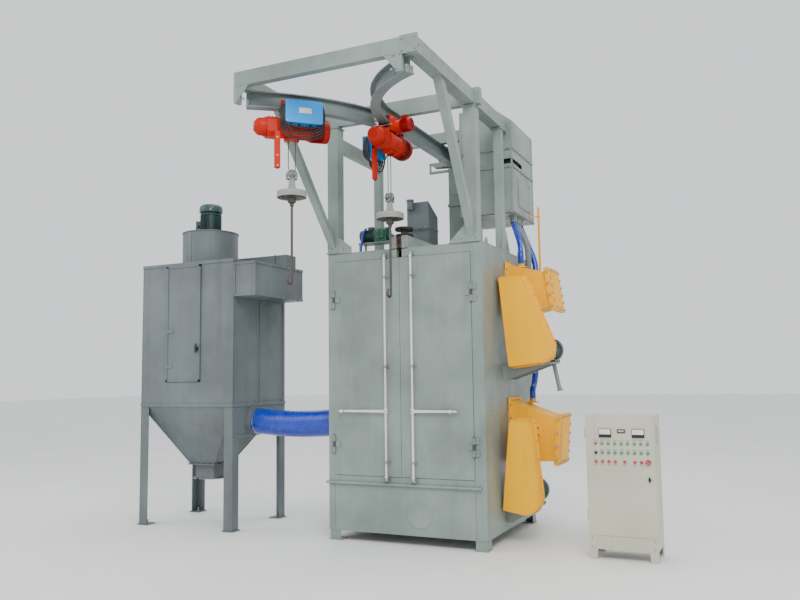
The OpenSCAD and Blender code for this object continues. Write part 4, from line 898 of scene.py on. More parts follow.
def hook_rod(side):
    """Splash disc, stem and hook, which turn together."""
    rod = "hook_rod_" + SIDE_NAME[side]
    place = hoist_place(side)
    base = low("monorail_track").z
    disc = pivot("hook_" + SIDE_NAME[side] + "_turn")[2] - base
    p = Piece(rod + "_detail", place @ Matrix.Rotation(-place.to_euler().z, 4, "Z"))
    radius = 0.145
    p.use(PALE)
    p.lathe((0, 0, disc - 0.029), Z, [(0, 0), (0, radius - 0.002), (0.002, radius), (0.01, radius),
        (0.012, radius - 0.0015), (0.015, radius - 0.0015), (0.017, radius), (0.056, radius),
        (0.062, radius - 0.004), (0.064, radius - 0.012), (0.0635, 0.064), (0.0645, 0.06), (0.0645, 0)],
        64)
    p.use(WORN)
    p.lathe((0, 0, disc - 0.0285), -Z, [(0, 0), (0, radius - 0.004), (0.0012, radius - 0.006),
        (0.0015, 0.056), (0.006, 0.042), (0.045, 0.04), (0.052, 0.034), (0.052, 0)], 64)
    p.bolt_circle((0, 0, disc - 0.0295), 0.11, 8, -Z, 0.006, 0, False)
    bottom = low(rod).z - base
    eye = Vector((0, -0.04, bottom + 0.062))
    stem_low = bottom + 0.1
    p.rod((0, 0, stem_low - 0.012), (0, 0, disc - 0.075), 0.012, 24)
    p.lathe((0, 0, disc - 0.115), Z, [(0, 0.0122), (0.002, 0.02), (0.03, 0.021), (0.034, 0.0122)], 24)
    curl = []
    for k in range(41):
        t = radians(0 - 262 * k / 40)
        curl.append(eye + Vector((0, 0.04 * cos(t), 0.04 * sin(t))))
    path = [Vector((0, 0, stem_low)), Vector((0, 0, stem_low - 0.018))] + curl
    p.tube(path, 0.0115, 18, lambda t: 1.0 + 0.12 * sin(pi * min(1, t * 1.3)) - 0.42 * max(0,
        t - 0.72) / 0.28)
    p.done(rod, 0.0008, (rod,))


# ---------------------------------------------------------------- drives on the roof, elevator and separator

def spin_drive():
    """Motor, gearbox and stand that turn the friction wheel."""
    y = pivot("friction_wheel_turn")[1]
    roof = high("chamber_shell").z
    p = Piece("spin_drive_detail")
    p.use(MOTOR).motor((-0.64, y, roof + 0.3), (low("spin_drive").x, y, roof + 0.3), 0.074, Z, 26, 0.28)
    p.use(GEARBOX)
    p.prism([(-0.075, -0.08), (0.075, -0.08), (0.075, 0.05), (0.045, 0.08), (-0.045, 0.08),
        (-0.075, 0.05)], (-0.638, y, roof + 0.3), Y, Z, X * 0.158)
    p.lathe((-0.56, y - 0.074, roof + 0.3), -Y, [(0, 0.06), (0.006, 0.06), (0.008, 0.052), (0.012, 0.05),
        (0.012, 0)], 32)
    p.bolt_circle((-0.56, y - 0.083, roof + 0.3), 0.047, 4, -Y, 0.006, pi / 4, False)
    p.lathe((-0.48, y, roof + 0.272), X, [(0, 0.036), (0.04, 0.034), (0.06, 0.024), (0.06, 0)], 24)
    p.use(PAINT)
    p.block((-0.62, y, roof + 0.206), 0.22, 0.09, 0.006)
    for x in (-0.82, -0.42):
        for k in (-1, 1):
            p.block((x, y + k * 0.07, roof + 0.1), 0.01, 0.01, 0.1)
            p.bolt((x, y + k * 0.07, roof + 0.212), Z, 0.007)
    p.block((-0.312, y, roof + 0.186), 0.087, 0.058, 0.013)
    p.lathe((-0.285, y, roof + 0.165), Z, [(0, 0.021), (0, 0.042), (0.03, 0.042), (0.046, 0.036),
        (0.046, 0.021)], 32)
    p.use(HOSE)
    p.tube(smooth_path([(-0.76, y - 0.03, roof + 0.385), (-0.765, y - 0.06, roof + 0.36),
        (-0.78, y - 0.1, roof + 0.25), (-0.79, y - 0.11, roof + 0.12), (-0.8, y - 0.11, roof + 0.008)],
        8), 0.013, 14)
    p.done("machine", 0.0012, ("spin_drive",))


def friction_wheel():
    wheel = Piece("friction_wheel_detail")
    centre = Vector((*pivot("friction_wheel_turn")[:2], 0))
    for z in (3.29, 3.372):
        wheel.use(WHEEL).lathe(centre + Z * z, Z, [(0, 0.075), (0, 0.098), (0.005, 0.106), (0.013, 0.108),
            (0.019, 0.105), (0.025, 0.108), (0.033, 0.106), (0.038, 0.098), (0.038, 0.075)], 48)
        wheel.use(WORN).lathe(centre + Z * (z + 0.004), Z, [(0, 0), (0, 0.076), (0.006, 0.078),
            (0.024, 0.078), (0.03, 0.076), (0.03, 0)], 40)
        wheel.bolt_circle(centre + Z * (z + 0.034), 0.055, 5, Z, 0.006)
    wheel.use(STEEL).rod(centre + Z * 3.19, centre + Z * 3.424, 0.0195, 28)
    wheel.use(WORN).lathe(centre + Z * 3.256, Z, [(0, 0.02), (0, 0.038), (0.16, 0.038), (0.162, 0.02)],
        32)
    wheel.done("friction_wheel", 0.001, ("friction_wheel",))


def vent_details():
    lo, hi = low("roof_vent_box"), high("roof_vent_box")
    p = Piece("vent_details")
    p.use(HOUSING)
    for z in (lo.z + 0.008, lo.z + 0.42):
        p.block(((lo.x + hi.x) / 2, lo.y + 0.057, z), 0.142, 0.004, 0.012)
        p.block((hi.x + 0.003, 0.375, z), 0.004, 0.145, 0.012)
        p.bolts((lo.x + 0.02, lo.y + 0.053, z), (hi.x - 0.02, lo.y + 0.053, z), 4, -Y, 0.006)
        p.bolts((hi.x + 0.006, 0.25, z), (hi.x + 0.006, 0.5, z), 4, X, 0.006)
    p.lathe((-0.36, 0.17, 3.69), Z, [(0, 0), (0, 0.04), (0.02, 0.042), (0.024, 0.039), (0.1, 0.039),
        (0.104, 0.047), (0.118, 0.047), (0.122, 0.03), (0.122, 0)], 36)
    p.use(ZINC).ring((-0.36, 0.17, 3.728), Z, 0.0405, 0.003, 32)
    p.done("machine", 0.001)


def elevator_details():
    lo, hi = low("elevator_casing"), high("elevator_casing")
    p = Piece("elevator_details")
    p.use(PAINT)
    for z in (0.62, 1.7, 2.78, 3.86):
        for face_x, side in ((lo.x, -1), (0.2, 1)):
            p.block((face_x + side * 0.008, (lo.y + hi.y) / 2, z), 0.009, (hi.y - lo.y) / 2, 0.016)
            p.bolts((face_x + side * 0.009, lo.y + 0.03, z + 0.016), (face_x + side * 0.009, hi.y - 0.03,
                z + 0.016), 4, Z, 0.007)
        p.block(((lo.x + 0.2) / 2, lo.y - 0.006, z), 0.18, 0.008, 0.016)
        p.block(((lo.x + 0.2) / 2, hi.y + 0.002, z), 0.18, 0.008, 0.016)
    for z0, z1 in ((3.18, 3.6), (3.98, 4.28)):
        p.block((0.03, lo.y - 0.003, (z0 + z1) / 2), 0.115, 0.004, (z1 - z0) / 2)
        for x in (-0.07, 0.13):
            p.bolts((x, lo.y - 0.007, z0 + 0.03), (x, lo.y - 0.007, z1 - 0.03), 3, -Y, 0.007)
    p.block((0.085, lo.y - 0.004, 4.52), 0.085, 0.004, 0.12)
    for x in (0.015, 0.155):
        p.bolts((x, lo.y - 0.008, 4.42), (x, lo.y - 0.008, 4.62), 3, -Y, 0.007)
    p.done("machine", 0.0012)


def elevator_drive():
    _, y, z = pivot("elevator_drum_spin")
    p = Piece("elevator_drive_detail")
    p.use(MOTOR).motor((-0.149, y, z), (-0.33, y, z), 0.077, Z, 26, 0.28)
    p.use(GEARBOX)
    p.prism([(-0.08, -0.11), (0.08, -0.11), (0.08, 0.05), (0.05, 0.08), (-0.05, 0.08), (-0.08, 0.05)],
        (-0.148, y, z), Y, Z, X * 0.115)
    p.use(PAINT)
    p.block((-0.226, y, z - 0.117), 0.194, 0.11, 0.0055)
    for k in (-1, 1):
        p.prism([(-0.415, -0.123), (-0.04, -0.123), (-0.04, -0.16), (-0.415, -0.135)],
            (0, y + k * 0.1, z), X, Z, Y * k * 0.007)
    p.block((-0.281, y - 0.09, 4.324), 0.139, 0.02, 0.014)
    p.block((-0.41, y - 0.09, 4.385), 0.01, 0.01, 0.05)
    for x in (-0.29, -0.19, -0.12, -0.06):
        for k in (-1, 1):
            p.bolt((x, y + k * 0.085, z - 0.1115), Z, 0.007)
    p.done("machine", 0.0012, ("elevator_drive",))


def separator_details():
    lo, hi = low("separator_box"), high("separator_box")
    shoulder = 0.18
    p = Piece("separator_details")
    p.use(PAINT)
    for z in (lo.z + 0.02, lo.z + 0.545, lo.z + 0.755):
        p.block(((lo.x + hi.x) / 2, lo.y - 0.006, z), (hi.x - lo.x) / 2, 0.007, 0.011)
        p.block((hi.x + 0.006, (lo.y + hi.y) / 2, z), 0.007, (hi.y - lo.y) / 2, 0.011)
        p.bolts((lo.x + 0.05, lo.y - 0.013, z), (hi.x - 0.05, lo.y - 0.013, z), 6, -Y, 0.0075)
        p.bolts((hi.x + 0.013, lo.y + 0.05, z), (hi.x + 0.013, hi.y - 0.05, z), 7, X, 0.0075)
    p.block((lo.x + 0.008, lo.y - 0.003, (lo.z + hi.z) / 2), 0.01, 0.004, (hi.z - lo.z) / 2)
    p.block((hi.x - 0.01, lo.y - 0.003, (lo.z + hi.z - shoulder) / 2), 0.01, 0.004,
        (hi.z - shoulder - lo.z) / 2)
    p.block((hi.x + 0.003, hi.y - 0.012, (lo.z + hi.z - shoulder) / 2), 0.004, 0.01,
        (hi.z - shoulder - lo.z) / 2)
    # access panel on the right face and hood over the air slot
    p.block((hi.x + 0.004, (lo.y + hi.y) / 2 + 0.02, lo.z + 0.28), 0.005, 0.24, 0.17)
    for k in (-1, 1):
        p.bolts((hi.x + 0.009, (lo.y + hi.y) / 2 + 0.02 + k * 0.215, lo.z + 0.14),
            (hi.x + 0.009, (lo.y + hi.y) / 2 + 0.02 + k * 0.215, lo.z + 0.42), 4, X, 0.0075)
    p.prism([(0, 0), (-0.03, -0.012), (-0.03, -0.015), (0, -0.004)], (hi.x - 0.115, lo.y - 0.001, 4.185),
        Y, Z, X * 0.112)
    p.use(DARK)
    for z in (4.128, 4.14, 4.152, 4.164):
        p.block((hi.x - 0.058, lo.y + 0.005, z), 0.05, 0.001, 0.0012)
    p.use(BLACK)
    p.block((hi.x - 0.057, lo.y + 0.03, 4.148), 0.052, 0.002, 0.03)
    p.block((hi.x - 0.03, lo.y + 0.205, 4.148), 0.002, 0.172, 0.03)
    # cover of the rear top corner, and the chute from the elevator's head
    p.use(PAINT)
    p.prism([(lo.x + 0.009, hi.z - 0.199), (hi.x - 0.001, hi.z - 0.199),
        (hi.x - 0.001, hi.z - shoulder - 0.009), (hi.x - 0.231, hi.z - 0.009),
        (lo.x + 0.009, hi.z - 0.009)], (0, hi.y - 0.008, 0), X, Z, Y * 0.008)
    chute = high("elevator_casing").x
    p.block(((chute + lo.x) / 2, 0.97, 4.5), (lo.x - chute) / 2 - 0.001, 0.066, 0.13)
    for x in (chute + 0.004, lo.x - 0.004):
        p.block((x, 0.97, 4.5), 0.003, 0.072, 0.148)
    # outlet sockets under the housing
    for x, y, r in ((0.84, 0.42, 0.04), (0.84, 0.7, 0.04), (0.84, 0.56, 0.044)):
        p.lathe((x, y, lo.z), -Z, [(0, r + 0.022), (0.008, r + 0.022), (0.009, r), (0.07, r),
            (0.07, r - 0.003)], 36)
        p.use(ZINC).ring((x, y, lo.z - 0.052), Z, r + 0.001, 0.003, 32)
        p.use(PAINT)
    p.done("machine", 0.0012)


# ---------------------------------------------------------------- blast wheels, hoses and pipes

# outer flange's foot and head as (x, z), then the casing's two heights at the wall
CASINGS = {"upper": ((1.431, 2.376), (1.364, 2.844), (2.33, 2.905)),
    "lower": ((1.411, 0.761), (1.454, 1.294), (0.79, 1.44))}
# corners of each belt guard as (x, z)
GUARD_OUTLINES = {"upper": [(0.917, 2.728), (1.176, 2.721), (1.459, 2.015), (1.44, 1.88), (1.32, 1.826),
    (1.005, 1.788)], "lower": [(0.995, 1.245), (1.215, 1.24), (1.288, 0.455), (1.24, 0.34), (1.13, 0.298),
    (0.905, 0.335)]}


def wheel_casing_details():
    front, back = -0.13, 0.32
    wall = high("chamber_shell").x
    for suffix, (foot, head, (z0, z1)) in CASINGS.items():
        casing = "wheel_casing_" + suffix
        foot, head = Vector((foot[0], 0, foot[1])), Vector((head[0], 0, head[1]))
        out = Vector(((head - foot).z, 0, -(head - foot).x)).normalized()
        p = Piece(casing + "_details")
        p.use(YELLOW)
        rise_dir = (head - foot).normalized()
        span = (head - foot).length
        plate = (foot + head) / 2 + out * 0.003
        p.slab(plate + Y * (front + back) / 2, rise_dir * (span / 2 - 0.055), Y * 0.165, out * 0.004)
        for y in (front + 0.022, back - 0.022):
            p.bolts(foot + rise_dir * 0.03 + Y * y, head - rise_dir * 0.03 + Y * y, 6, out, 0.011)
        for t in (0.05, 0.95):
            along = foot.lerp(head, t)
            p.bolts(along + Y * (front + 0.12), along + Y * (back - 0.12), 3, out, 0.011)
        # wing bolts along the flange's front edge
        for t in (0.12, 0.38, 0.64, 0.9):
            spot = foot.lerp(head, t) - out * 0.025 + Y * front
            p.use(ZINC).rod(spot, spot - Y * 0.034, 0.0065, 14)
            for k in (-1, 1):
                p.prism([(0.004, -0.004), (0.02, 0.004), (0.026, 0.016), (0.02, 0.02), (0.008, 0.008)],
                    spot - Y * 0.026, X * k, Z, Y * -0.005)
        # seams and mounting frame against the chamber wall
        p.use(YELLOW)
        for y, k in ((-0.105, -1), (0.295, 1)):
            p.block((wall + 0.014, y + k * 0.014, (z0 + z1) / 2), 0.006, 0.016, (z1 - z0) / 2)
        p.block((wall + 0.014, 0.095, z1 + 0.012), 0.006, 0.228, 0.014)
        p.bolts((wall + 0.02, -0.12, z0 + 0.05), (wall + 0.02, -0.12, z1 - 0.05), 5, X, 0.009)
        shaft = pivot("impeller_" + suffix + "_spin")
        p.lathe((shaft[0], -0.1055, shaft[2]), -Y, [(0, 0.072), (0, 0.118), (0.01, 0.118), (0.012, 0.112),
            (0.012, 0.072)], 44)
        p.bolt_circle((shaft[0], -0.1175, shaft[2]), 0.098, 8, -Y, 0.008, pi / 8)
        p.done("machine", 0.0014)


def belt_guard_details():
    """Folded rims and screws round the two belt guards."""
    for suffix, outline in GUARD_OUTLINES.items():
        guard = "belt_guard_" + suffix
        lo, hi = low(guard), high(guard)
        p = Piece(guard + "_details")
        centre = Vector((sum(a for a, b in outline) / len(outline), 0,
            sum(b for a, b in outline) / len(outline)))
        for (a, b), (c, d) in zip(outline, outline[1:] + outline[:1]):
            start, end = Vector((a, 0, b)), Vector((c, 0, d))
            along = (end - start).normalized()
            out = along.cross(Y)
            if out.dot((start + end) / 2 - centre) < 0:
                out = -out
            length = (end - start).length
            p.use(YELLOW).slab((start + end) / 2 + Y * (hi.y - 0.004) + out * 0.009, along * length / 2,
                out * 0.01, Y * 0.0025)
            p.slab((start + end) / 2 + Y * (lo.y - 0.001) - out * 0.008, along * (length / 2 - 0.004),
                out * 0.007, Y * 0.002)
            count = max(2, int(length / 0.14))
            p.bolts(start + along * 0.03 + Y * (hi.y - 0.0065) + out * 0.011,
                end - along * 0.03 + Y * (hi.y - 0.0065) + out * 0.011, count, -Y, 0.0055)
        p.done("machine", 0.0012)


def wheel_motors():
    p = Piece("wheel_motors_detail")
    wall = high("chamber_shell").x
    for joint in ("motor_upper_spin", "motor_lower_spin"):
        x, _, z = pivot(joint)
        p.use(MOTOR).motor((x, -0.304, z), (x, 0.109, z), 0.127, Z, 40, 0.2)
        for k in (-1, 1):
            p.block((x + k * 0.085, -0.12, z - 0.118), 0.022, 0.11, 0.012)
        p.use(PAINT)
        p.block(((wall + x + 0.09) / 2, -0.115, z - 0.1395), (x + 0.09 - wall) / 2, 0.155, 0.0085)
        for y in (-0.262, 0.03):
            p.prism([(0, 0), (x + 0.06 - wall, 0), (0.06, -0.16), (0, -0.16)], (wall, y, z - 0.148), X, Z,
                Y * 0.01)
        for i in (-1, 1):
            for y in (-0.2, -0.04):
                p.bolt((x + i * 0.085, y, z - 0.106), Z, 0.009)
                p.bolt((x + i * 0.04, y, z - 0.1482), -Z, 0.009)
    p.done("machine", 0.0014, ("wheel_motors",))


def feed_hoses():
    top = low("separator_box")
    up = [(0.572, 0.192, -0.002), (0.572, 0.192, -0.08), (0.657, 0.122, -0.32), (0.712, -0.028, -0.48),
        (0.712, -0.028, -0.64)]
    down = [(0.572, 0.472, -0.002), (0.572, 0.472, -0.08), (0.662, 0.472, -0.32), (0.737, 0.462, -0.54),
        (0.777, 0.372, -0.94), (0.792, 0.252, -1.54), (0.792, 0.102, -1.9), (0.792, 0.012, -2.00),
        (0.792, 0.012, -2.14)]
    p = Piece("feed_hoses_detail")
    for route in (up, down):
        path = smooth_path([top + Vector(q) for q in route], 14)
        p.use(HOSE).tube(path, 0.033, 28, lambda t: 1 + 0.022 * sin(t * 260) + 0.012 * sin(t * 37))
        for i in (6, len(path) - 5):
            axis = (path[i + 1] - path[i - 1]).normalized()
            p.use(ZINC).lathe(path[i] - axis * 0.006, axis, [(0, 0.0335), (0, 0.0355), (0.012, 0.0355),
                (0.012, 0.0335)], 32)
            p.bolt(path[i] - Y * 0.0355, -Y, 0.0055, False)
        end = path[-1]
        p.use(YELLOW).lathe(end - Z * 0.002, Z, [(0, 0.07), (0.008, 0.07), (0.009, 0.038), (0.05, 0.036),
            (0.05, 0.034)], 36)
        p.bolt_circle(end + Z * 0.006, 0.056, 4, Z, 0.006, pi / 4)
    p.done("machine", 0.0, ("feed_hoses",))


def feed_pipes():
    top = low("separator_box")
    p = Piece("feed_pipes_detail")
    p.use(RAIL)
    path = smooth_path([top + Vector(q) for q in ((0.572, 0.332, -0.002), (0.572, 0.332, -0.09),
        (0.677, 0.362, -0.34), (0.68, 0.374, -0.8), (0.682, 0.392, -1.54))], 12)
    p.tube(path, 0.036, 28)
    for z in (-0.62, -1.1):
        p.lathe(top + Vector((0.679, 0.376, z)), Z, [(0, 0.036), (0, 0.058), (0.012, 0.058),
            (0.012, 0.036)], 32)
        p.bolt_circle(top + Vector((0.679, 0.376, z + 0.012)), 0.047, 4, Z, 0.006)
    p.rod((1.372, -0.02, 1.812), (1.425, -0.02, 1.54), 0.022, 28)
    p.lathe((1.425, -0.02, 1.555), Vector((0.19, 0, -1)), [(0, 0.022), (0, 0.03), (0.02, 0.03),
        (0.022, 0.022)], 28)
    p.use(YELLOW)
    p.rod((1.01, 0.9, 2.6), (1.01, 0.9, 3.72), 0.014, 20)
    for z in (2.706, 3.606):
        p.block((0.958, 0.9, z), 0.052, 0.008, 0.006)
        p.lathe((1.01, 0.9, z - 0.01), Z, [(0, 0.014), (0, 0.02), (0.02, 0.02), (0.02, 0.014)], 20)
    p.done("machine", 0.0008, ("feed_pipes",))


# ---------------------------------------------------------------- dust collector

def duct():
    lo, hi = low("duct_hose"), high("duct_hose")
    y, z = (lo.y + hi.y) / 2, (lo.z + hi.z) / 2
    start, end = lo.x + 0.07, hi.x - 0.012
    p = Piece("duct_hose_detail")
    path = []
    steps = 150
    for k in range(steps + 1):
        t = k / steps
        x = start + (end - start) * t
        bow = sin(pi * t)
        path.append((x, y - 0.004 * bow, z - 0.03 * bow))
    p.use(HOSE).tube(path, 0.148, 56, lambda t: 1 + 0.006 * sin(t * 210) + 0.006 * sin(t * 23 + 1))
    for x in (start + 0.018, end - 0.04):
        p.use(ZINC).lathe((x, y, z), X, [(0, 0.149), (0, 0.1525), (0.014, 0.1525), (0.014, 0.149)], 56)
        p.rod((x + 0.007, y - 0.158, z + 0.03), (x + 0.007, y - 0.158, z - 0.03), 0.006, 12)
    p.use(HOUSING)
    wall = lo.x
    p.lathe((wall, y, z), X, [(0, 0.132), (0, 0.171), (0.009, 0.171), (0.01, 0.144), (0.068, 0.143),
        (0.068, 0.14)], 56)
    p.lathe((hi.x, y, z), -X, [(0, 0.132), (0, 0.171), (0.009, 0.171), (0.01, 0.144), (0.03, 0.143),
        (0.03, 0.14)], 56)
    for x, d in ((wall + 0.009, 1), (hi.x - 0.009, -1)):
        p.bolt_circle((x, y, z), 0.16, 10, X * d, 0.0065)
    p.done("machine", 0.0, ("duct_hose",))


COLLECTOR_X = (-3.448, -2.092)
COLLECTOR_Y = (-0.964, 0.093)


def collector_details():
    left, right = COLLECTOR_X
    front, rear = COLLECTOR_Y
    p = Piece("collector_details")
    p.use(HOUSING)
    # panel seams on the right side and the front
    for y in (front + 0.04, -0.435, rear - 0.04):
        p.block((right + 0.003, y, 2.25), 0.004, 0.018, 0.835)
    for z in (1.405, 3.074):
        p.block((right + 0.005, (front + rear) / 2, z), 0.006, (rear - front) / 2, 0.018)
        p.block(((left + right) / 2, front - 0.004, z), (right - left) / 2, 0.005, 0.018)
    p.block((right + 0.004, (front + rear) / 2, 1.055), 0.005, 0.5, 0.012)
    for x in (left, right):
        for y in (front, rear):
            sx, sy = (1 if x == left else -1), (1 if y == front else -1)
            spot = Vector((x + sx * 0.07, y + sy * 0.07, 0.011))
            p.bolt(spot, Z, 0.014)
            p.use(ZINC).rod(spot + Z * 0.01, spot + Z * 0.042, 0.008, 14)
            p.use(HOUSING).weld((x, y - sy * 0.0005, 0.014), (x + sx * 0.115, y - sy * 0.0005, 0.014),
                0.0035)
    # hopper seams and its flange bolts
    outlet = Vector((-2.8, (front + rear) / 2, 0.695))
    for sx, sy in CORNERS:
        top = Vector((left + 0.01 if sx < 0 else right - 0.01, front + 0.01 if sy < 0 else rear - 0.01,
            1.383))
        p.weld(top, outlet + Vector((sx * 0.18, sy * 0.18, 0)), 0.0045)
    for sy in (-1, 1):
        p.bolts(outlet + Vector((-0.17, sy * 0.19, -0.001)), outlet + Vector((0.17, sy * 0.19, -0.001)),
            5, Z, 0.007)
        p.bolts(outlet + Vector((sy * 0.19, -0.15, -0.001)), outlet + Vector((sy * 0.19, 0.15, -0.001)),
            4, Z, 0.007)
    p.done("machine", 0.0012)


def collector_door_details():
    front = COLLECTOR_Y[0]
    p = Piece("collector_door_details")
    p.use(HOUSING)
    x0, x1, z0, z1 = -3.066, -2.561, 1.68, 3.056
    y = front - 0.008
    for z in (z0 + 0.012, z1 - 0.012):
        p.block(((x0 + x1) / 2, y - 0.003, z), (x1 - x0) / 2, 0.004, 0.012)
    for x in (x0 + 0.012, x1 - 0.012):
        p.block((x, y - 0.003, (z0 + z1) / 2), 0.012, 0.004, (z1 - z0) / 2)
    for z in (1.86, 2.28):
        p.block((x0 + 0.045, y - 0.005, z), 0.055, 0.003, 0.022)
        p.bolts((x0 + 0.02, y - 0.008, z), (x0 + 0.085, y - 0.008, z), 3, -Y, 0.0055)
    p.use(DARK)
    p.lathe((-2.6, y - 0.002, 2.06), -Y, [(0, 0.024), (0.006, 0.024), (0.008, 0.014), (0.026, 0.013),
        (0.026, 0)], 28)
    p.prism([(-0.011, -0.045), (0.011, -0.045), (0.013, 0.02), (0.006, 0.062), (-0.006, 0.062),
        (-0.013, 0.02)], (-2.6, y - 0.026, 2.06), X, Z, -Y * 0.01)
    p.use(BLACK)
    p.block(((x0 + x1) / 2, front - 0.0005, z0 - 0.001), (x1 - x0) / 2, 0.0012, 0.003)
    p.done("collector_door", 0.0009)


def fan_details():
    axis = Vector(pivot("fan_spin"))
    top = high("fan_casing").z
    base = 3.092
    c = Vector((axis.x, axis.y, 0))
    p = Piece("fan_details")
    p.use(HOUSING)
    radius = 0.34
    p.lathe(c + Z * base, Z, [(0, 0.3), (0, radius + 0.02), (0.008, radius + 0.02),
        (0.009, radius + 0.001)], 72)
    p.lathe(c + Z * (top - 0.01), Z, [(0, radius + 0.001), (0, radius + 0.008), (0.012, radius + 0.008),
        (0.012, 0.25)], 72)
    p.weld(c + Vector((-0.02, -radius - 0.002, base + 0.02)),
        c + Vector((-0.02, -radius - 0.002, top - 0.015)), 0.003)
    p.bolt_circle(c + Z * (top + 0.001), radius - 0.02, 9, Z, 0.0065)
    p.lathe(c + Z * top, Z, [(0, 0.2), (0, 0.215), (0.01, 0.215), (0.01, 0.15), (0.014, 0.146),
        (0.014, 0.1)], 48)
    # flange of the low outlet behind the drum
    duct_lo, duct_hi = low("exhaust_duct"), high("exhaust_duct")
    box_hi = high("fan_casing").x
    p.block((box_hi - 0.006, axis.y + 0.225, 3.147), 0.006, 0.112, 0.058)
    # seams, stiffeners and bolts of the exhaust box
    for z in (2.664, 3.031):
        p.block((duct_hi.x + 0.003, (duct_lo.y + duct_hi.y) / 2, z), 0.004, (duct_hi.y - duct_lo.y) / 2,
            0.014)
        p.bolts((duct_hi.x + 0.007, duct_lo.y + 0.06, z), (duct_hi.x + 0.007, duct_hi.y - 0.06, z), 8, X,
            0.006)
        p.block(((duct_lo.x + duct_hi.x) / 2, duct_lo.y - 0.003, z), 0.15, 0.004, 0.014)
    p.block((-2.08, duct_lo.y - 0.002, 2.85), 0.013, 0.005, 0.19)
    for k in range(20):
        p.block((-1.89, -0.785 + 0.03 * k, duct_lo.z - 0.001), 0.064, 0.009, 0.0015)
    p.done("machine", 0.0012)


def fan_motor():
    axis = pivot("fan_spin")
    c = Vector((axis[0], axis[1], 0))
    top = high("fan_casing").z
    motor_hi = high("fan_motor")
    p = Piece("fan_motor_detail")
    p.use(MOTOR).motor(c + Z * (top + 0.001), c + Z * (motor_hi.z - 0.105), 0.133, Vector((-1, -0.15, 0)),
        40, 0.1)
    z = motor_hi.z - 0.104
    p.lathe(c + Z * z, Z, [(0, 0.118), (0, 0.14), (0.006, 0.142), (0.062, 0.142), (0.08, 0.136),
        (0.098, 0.112), (0.104, 0.07), (0.104, 0)], 56)
    for k in range(4):
        t = pi * (k / 2 + 0.2)
        out = spoke(Z, t)
        p.bolt(c + out * 0.142 + Z * (z + 0.025), out, 0.006)
    p.done("machine", 0.0012, ("fan_motor",))


# ---------------------------------------------------------------- control cabinet

PANEL_X, PANEL_Y, SELECTOR_Z = pivot("selector_turn")
COLUMN_STEP = (high("start_buttons").x - 0.014 - PANEL_X) / 8
LAMP_Z, START_Z, STOP_Z = 1.057, 0.973, 0.891
STOP_COLUMNS = (0, 1, 2, 3, 4.45, 6, 7)
BEZEL = [(0, 0.0165), (0.003, 0.0165), (0.005, 0.0145), (0.005, 0.0132), (0.0005, 0.0132)]


def on_panel(column, z, out=0.0):
    """Point on the door's front at a column of the buttons' grid, moved out by some metres."""
    return Vector((PANEL_X + COLUMN_STEP * column, PANEL_Y - out, z))


def meter(p, x):
    p.use(DARK).block((x, PANEL_Y - 0.004, 1.153), 0.056, 0.005, 0.04)
    p.use(WHITE).block((x, PANEL_Y - 0.01, 1.166), 0.051, 0.006, 0.023)
    p.use(DARK).block((x, PANEL_Y - 0.011, 1.129), 0.051, 0.006, 0.013)
    # scale ticks, pointer and its boss
    for k in range(11):
        out = spoke(Y, radians(30 + 12 * k))
        p.slab(Vector((x, PANEL_Y - 0.0163, 1.138)) + out * 0.041,
            out * (0.0035 if k % 5 == 0 else 0.002), Y * 0.0003, Y.cross(out) * 0.0005)
    needle = spoke(Y, radians(142))
    p.use(RED).slab(Vector((x, PANEL_Y - 0.0168, 1.143)) + needle * 0.018, needle * 0.02, Y * 0.0003,
        Y.cross(needle) * 0.0006)
    p.use(DARK).lathe((x, PANEL_Y - 0.017, 1.131), -Y, [(0, 0.006), (0.002, 0.0055), (0.0025, 0)], 18)


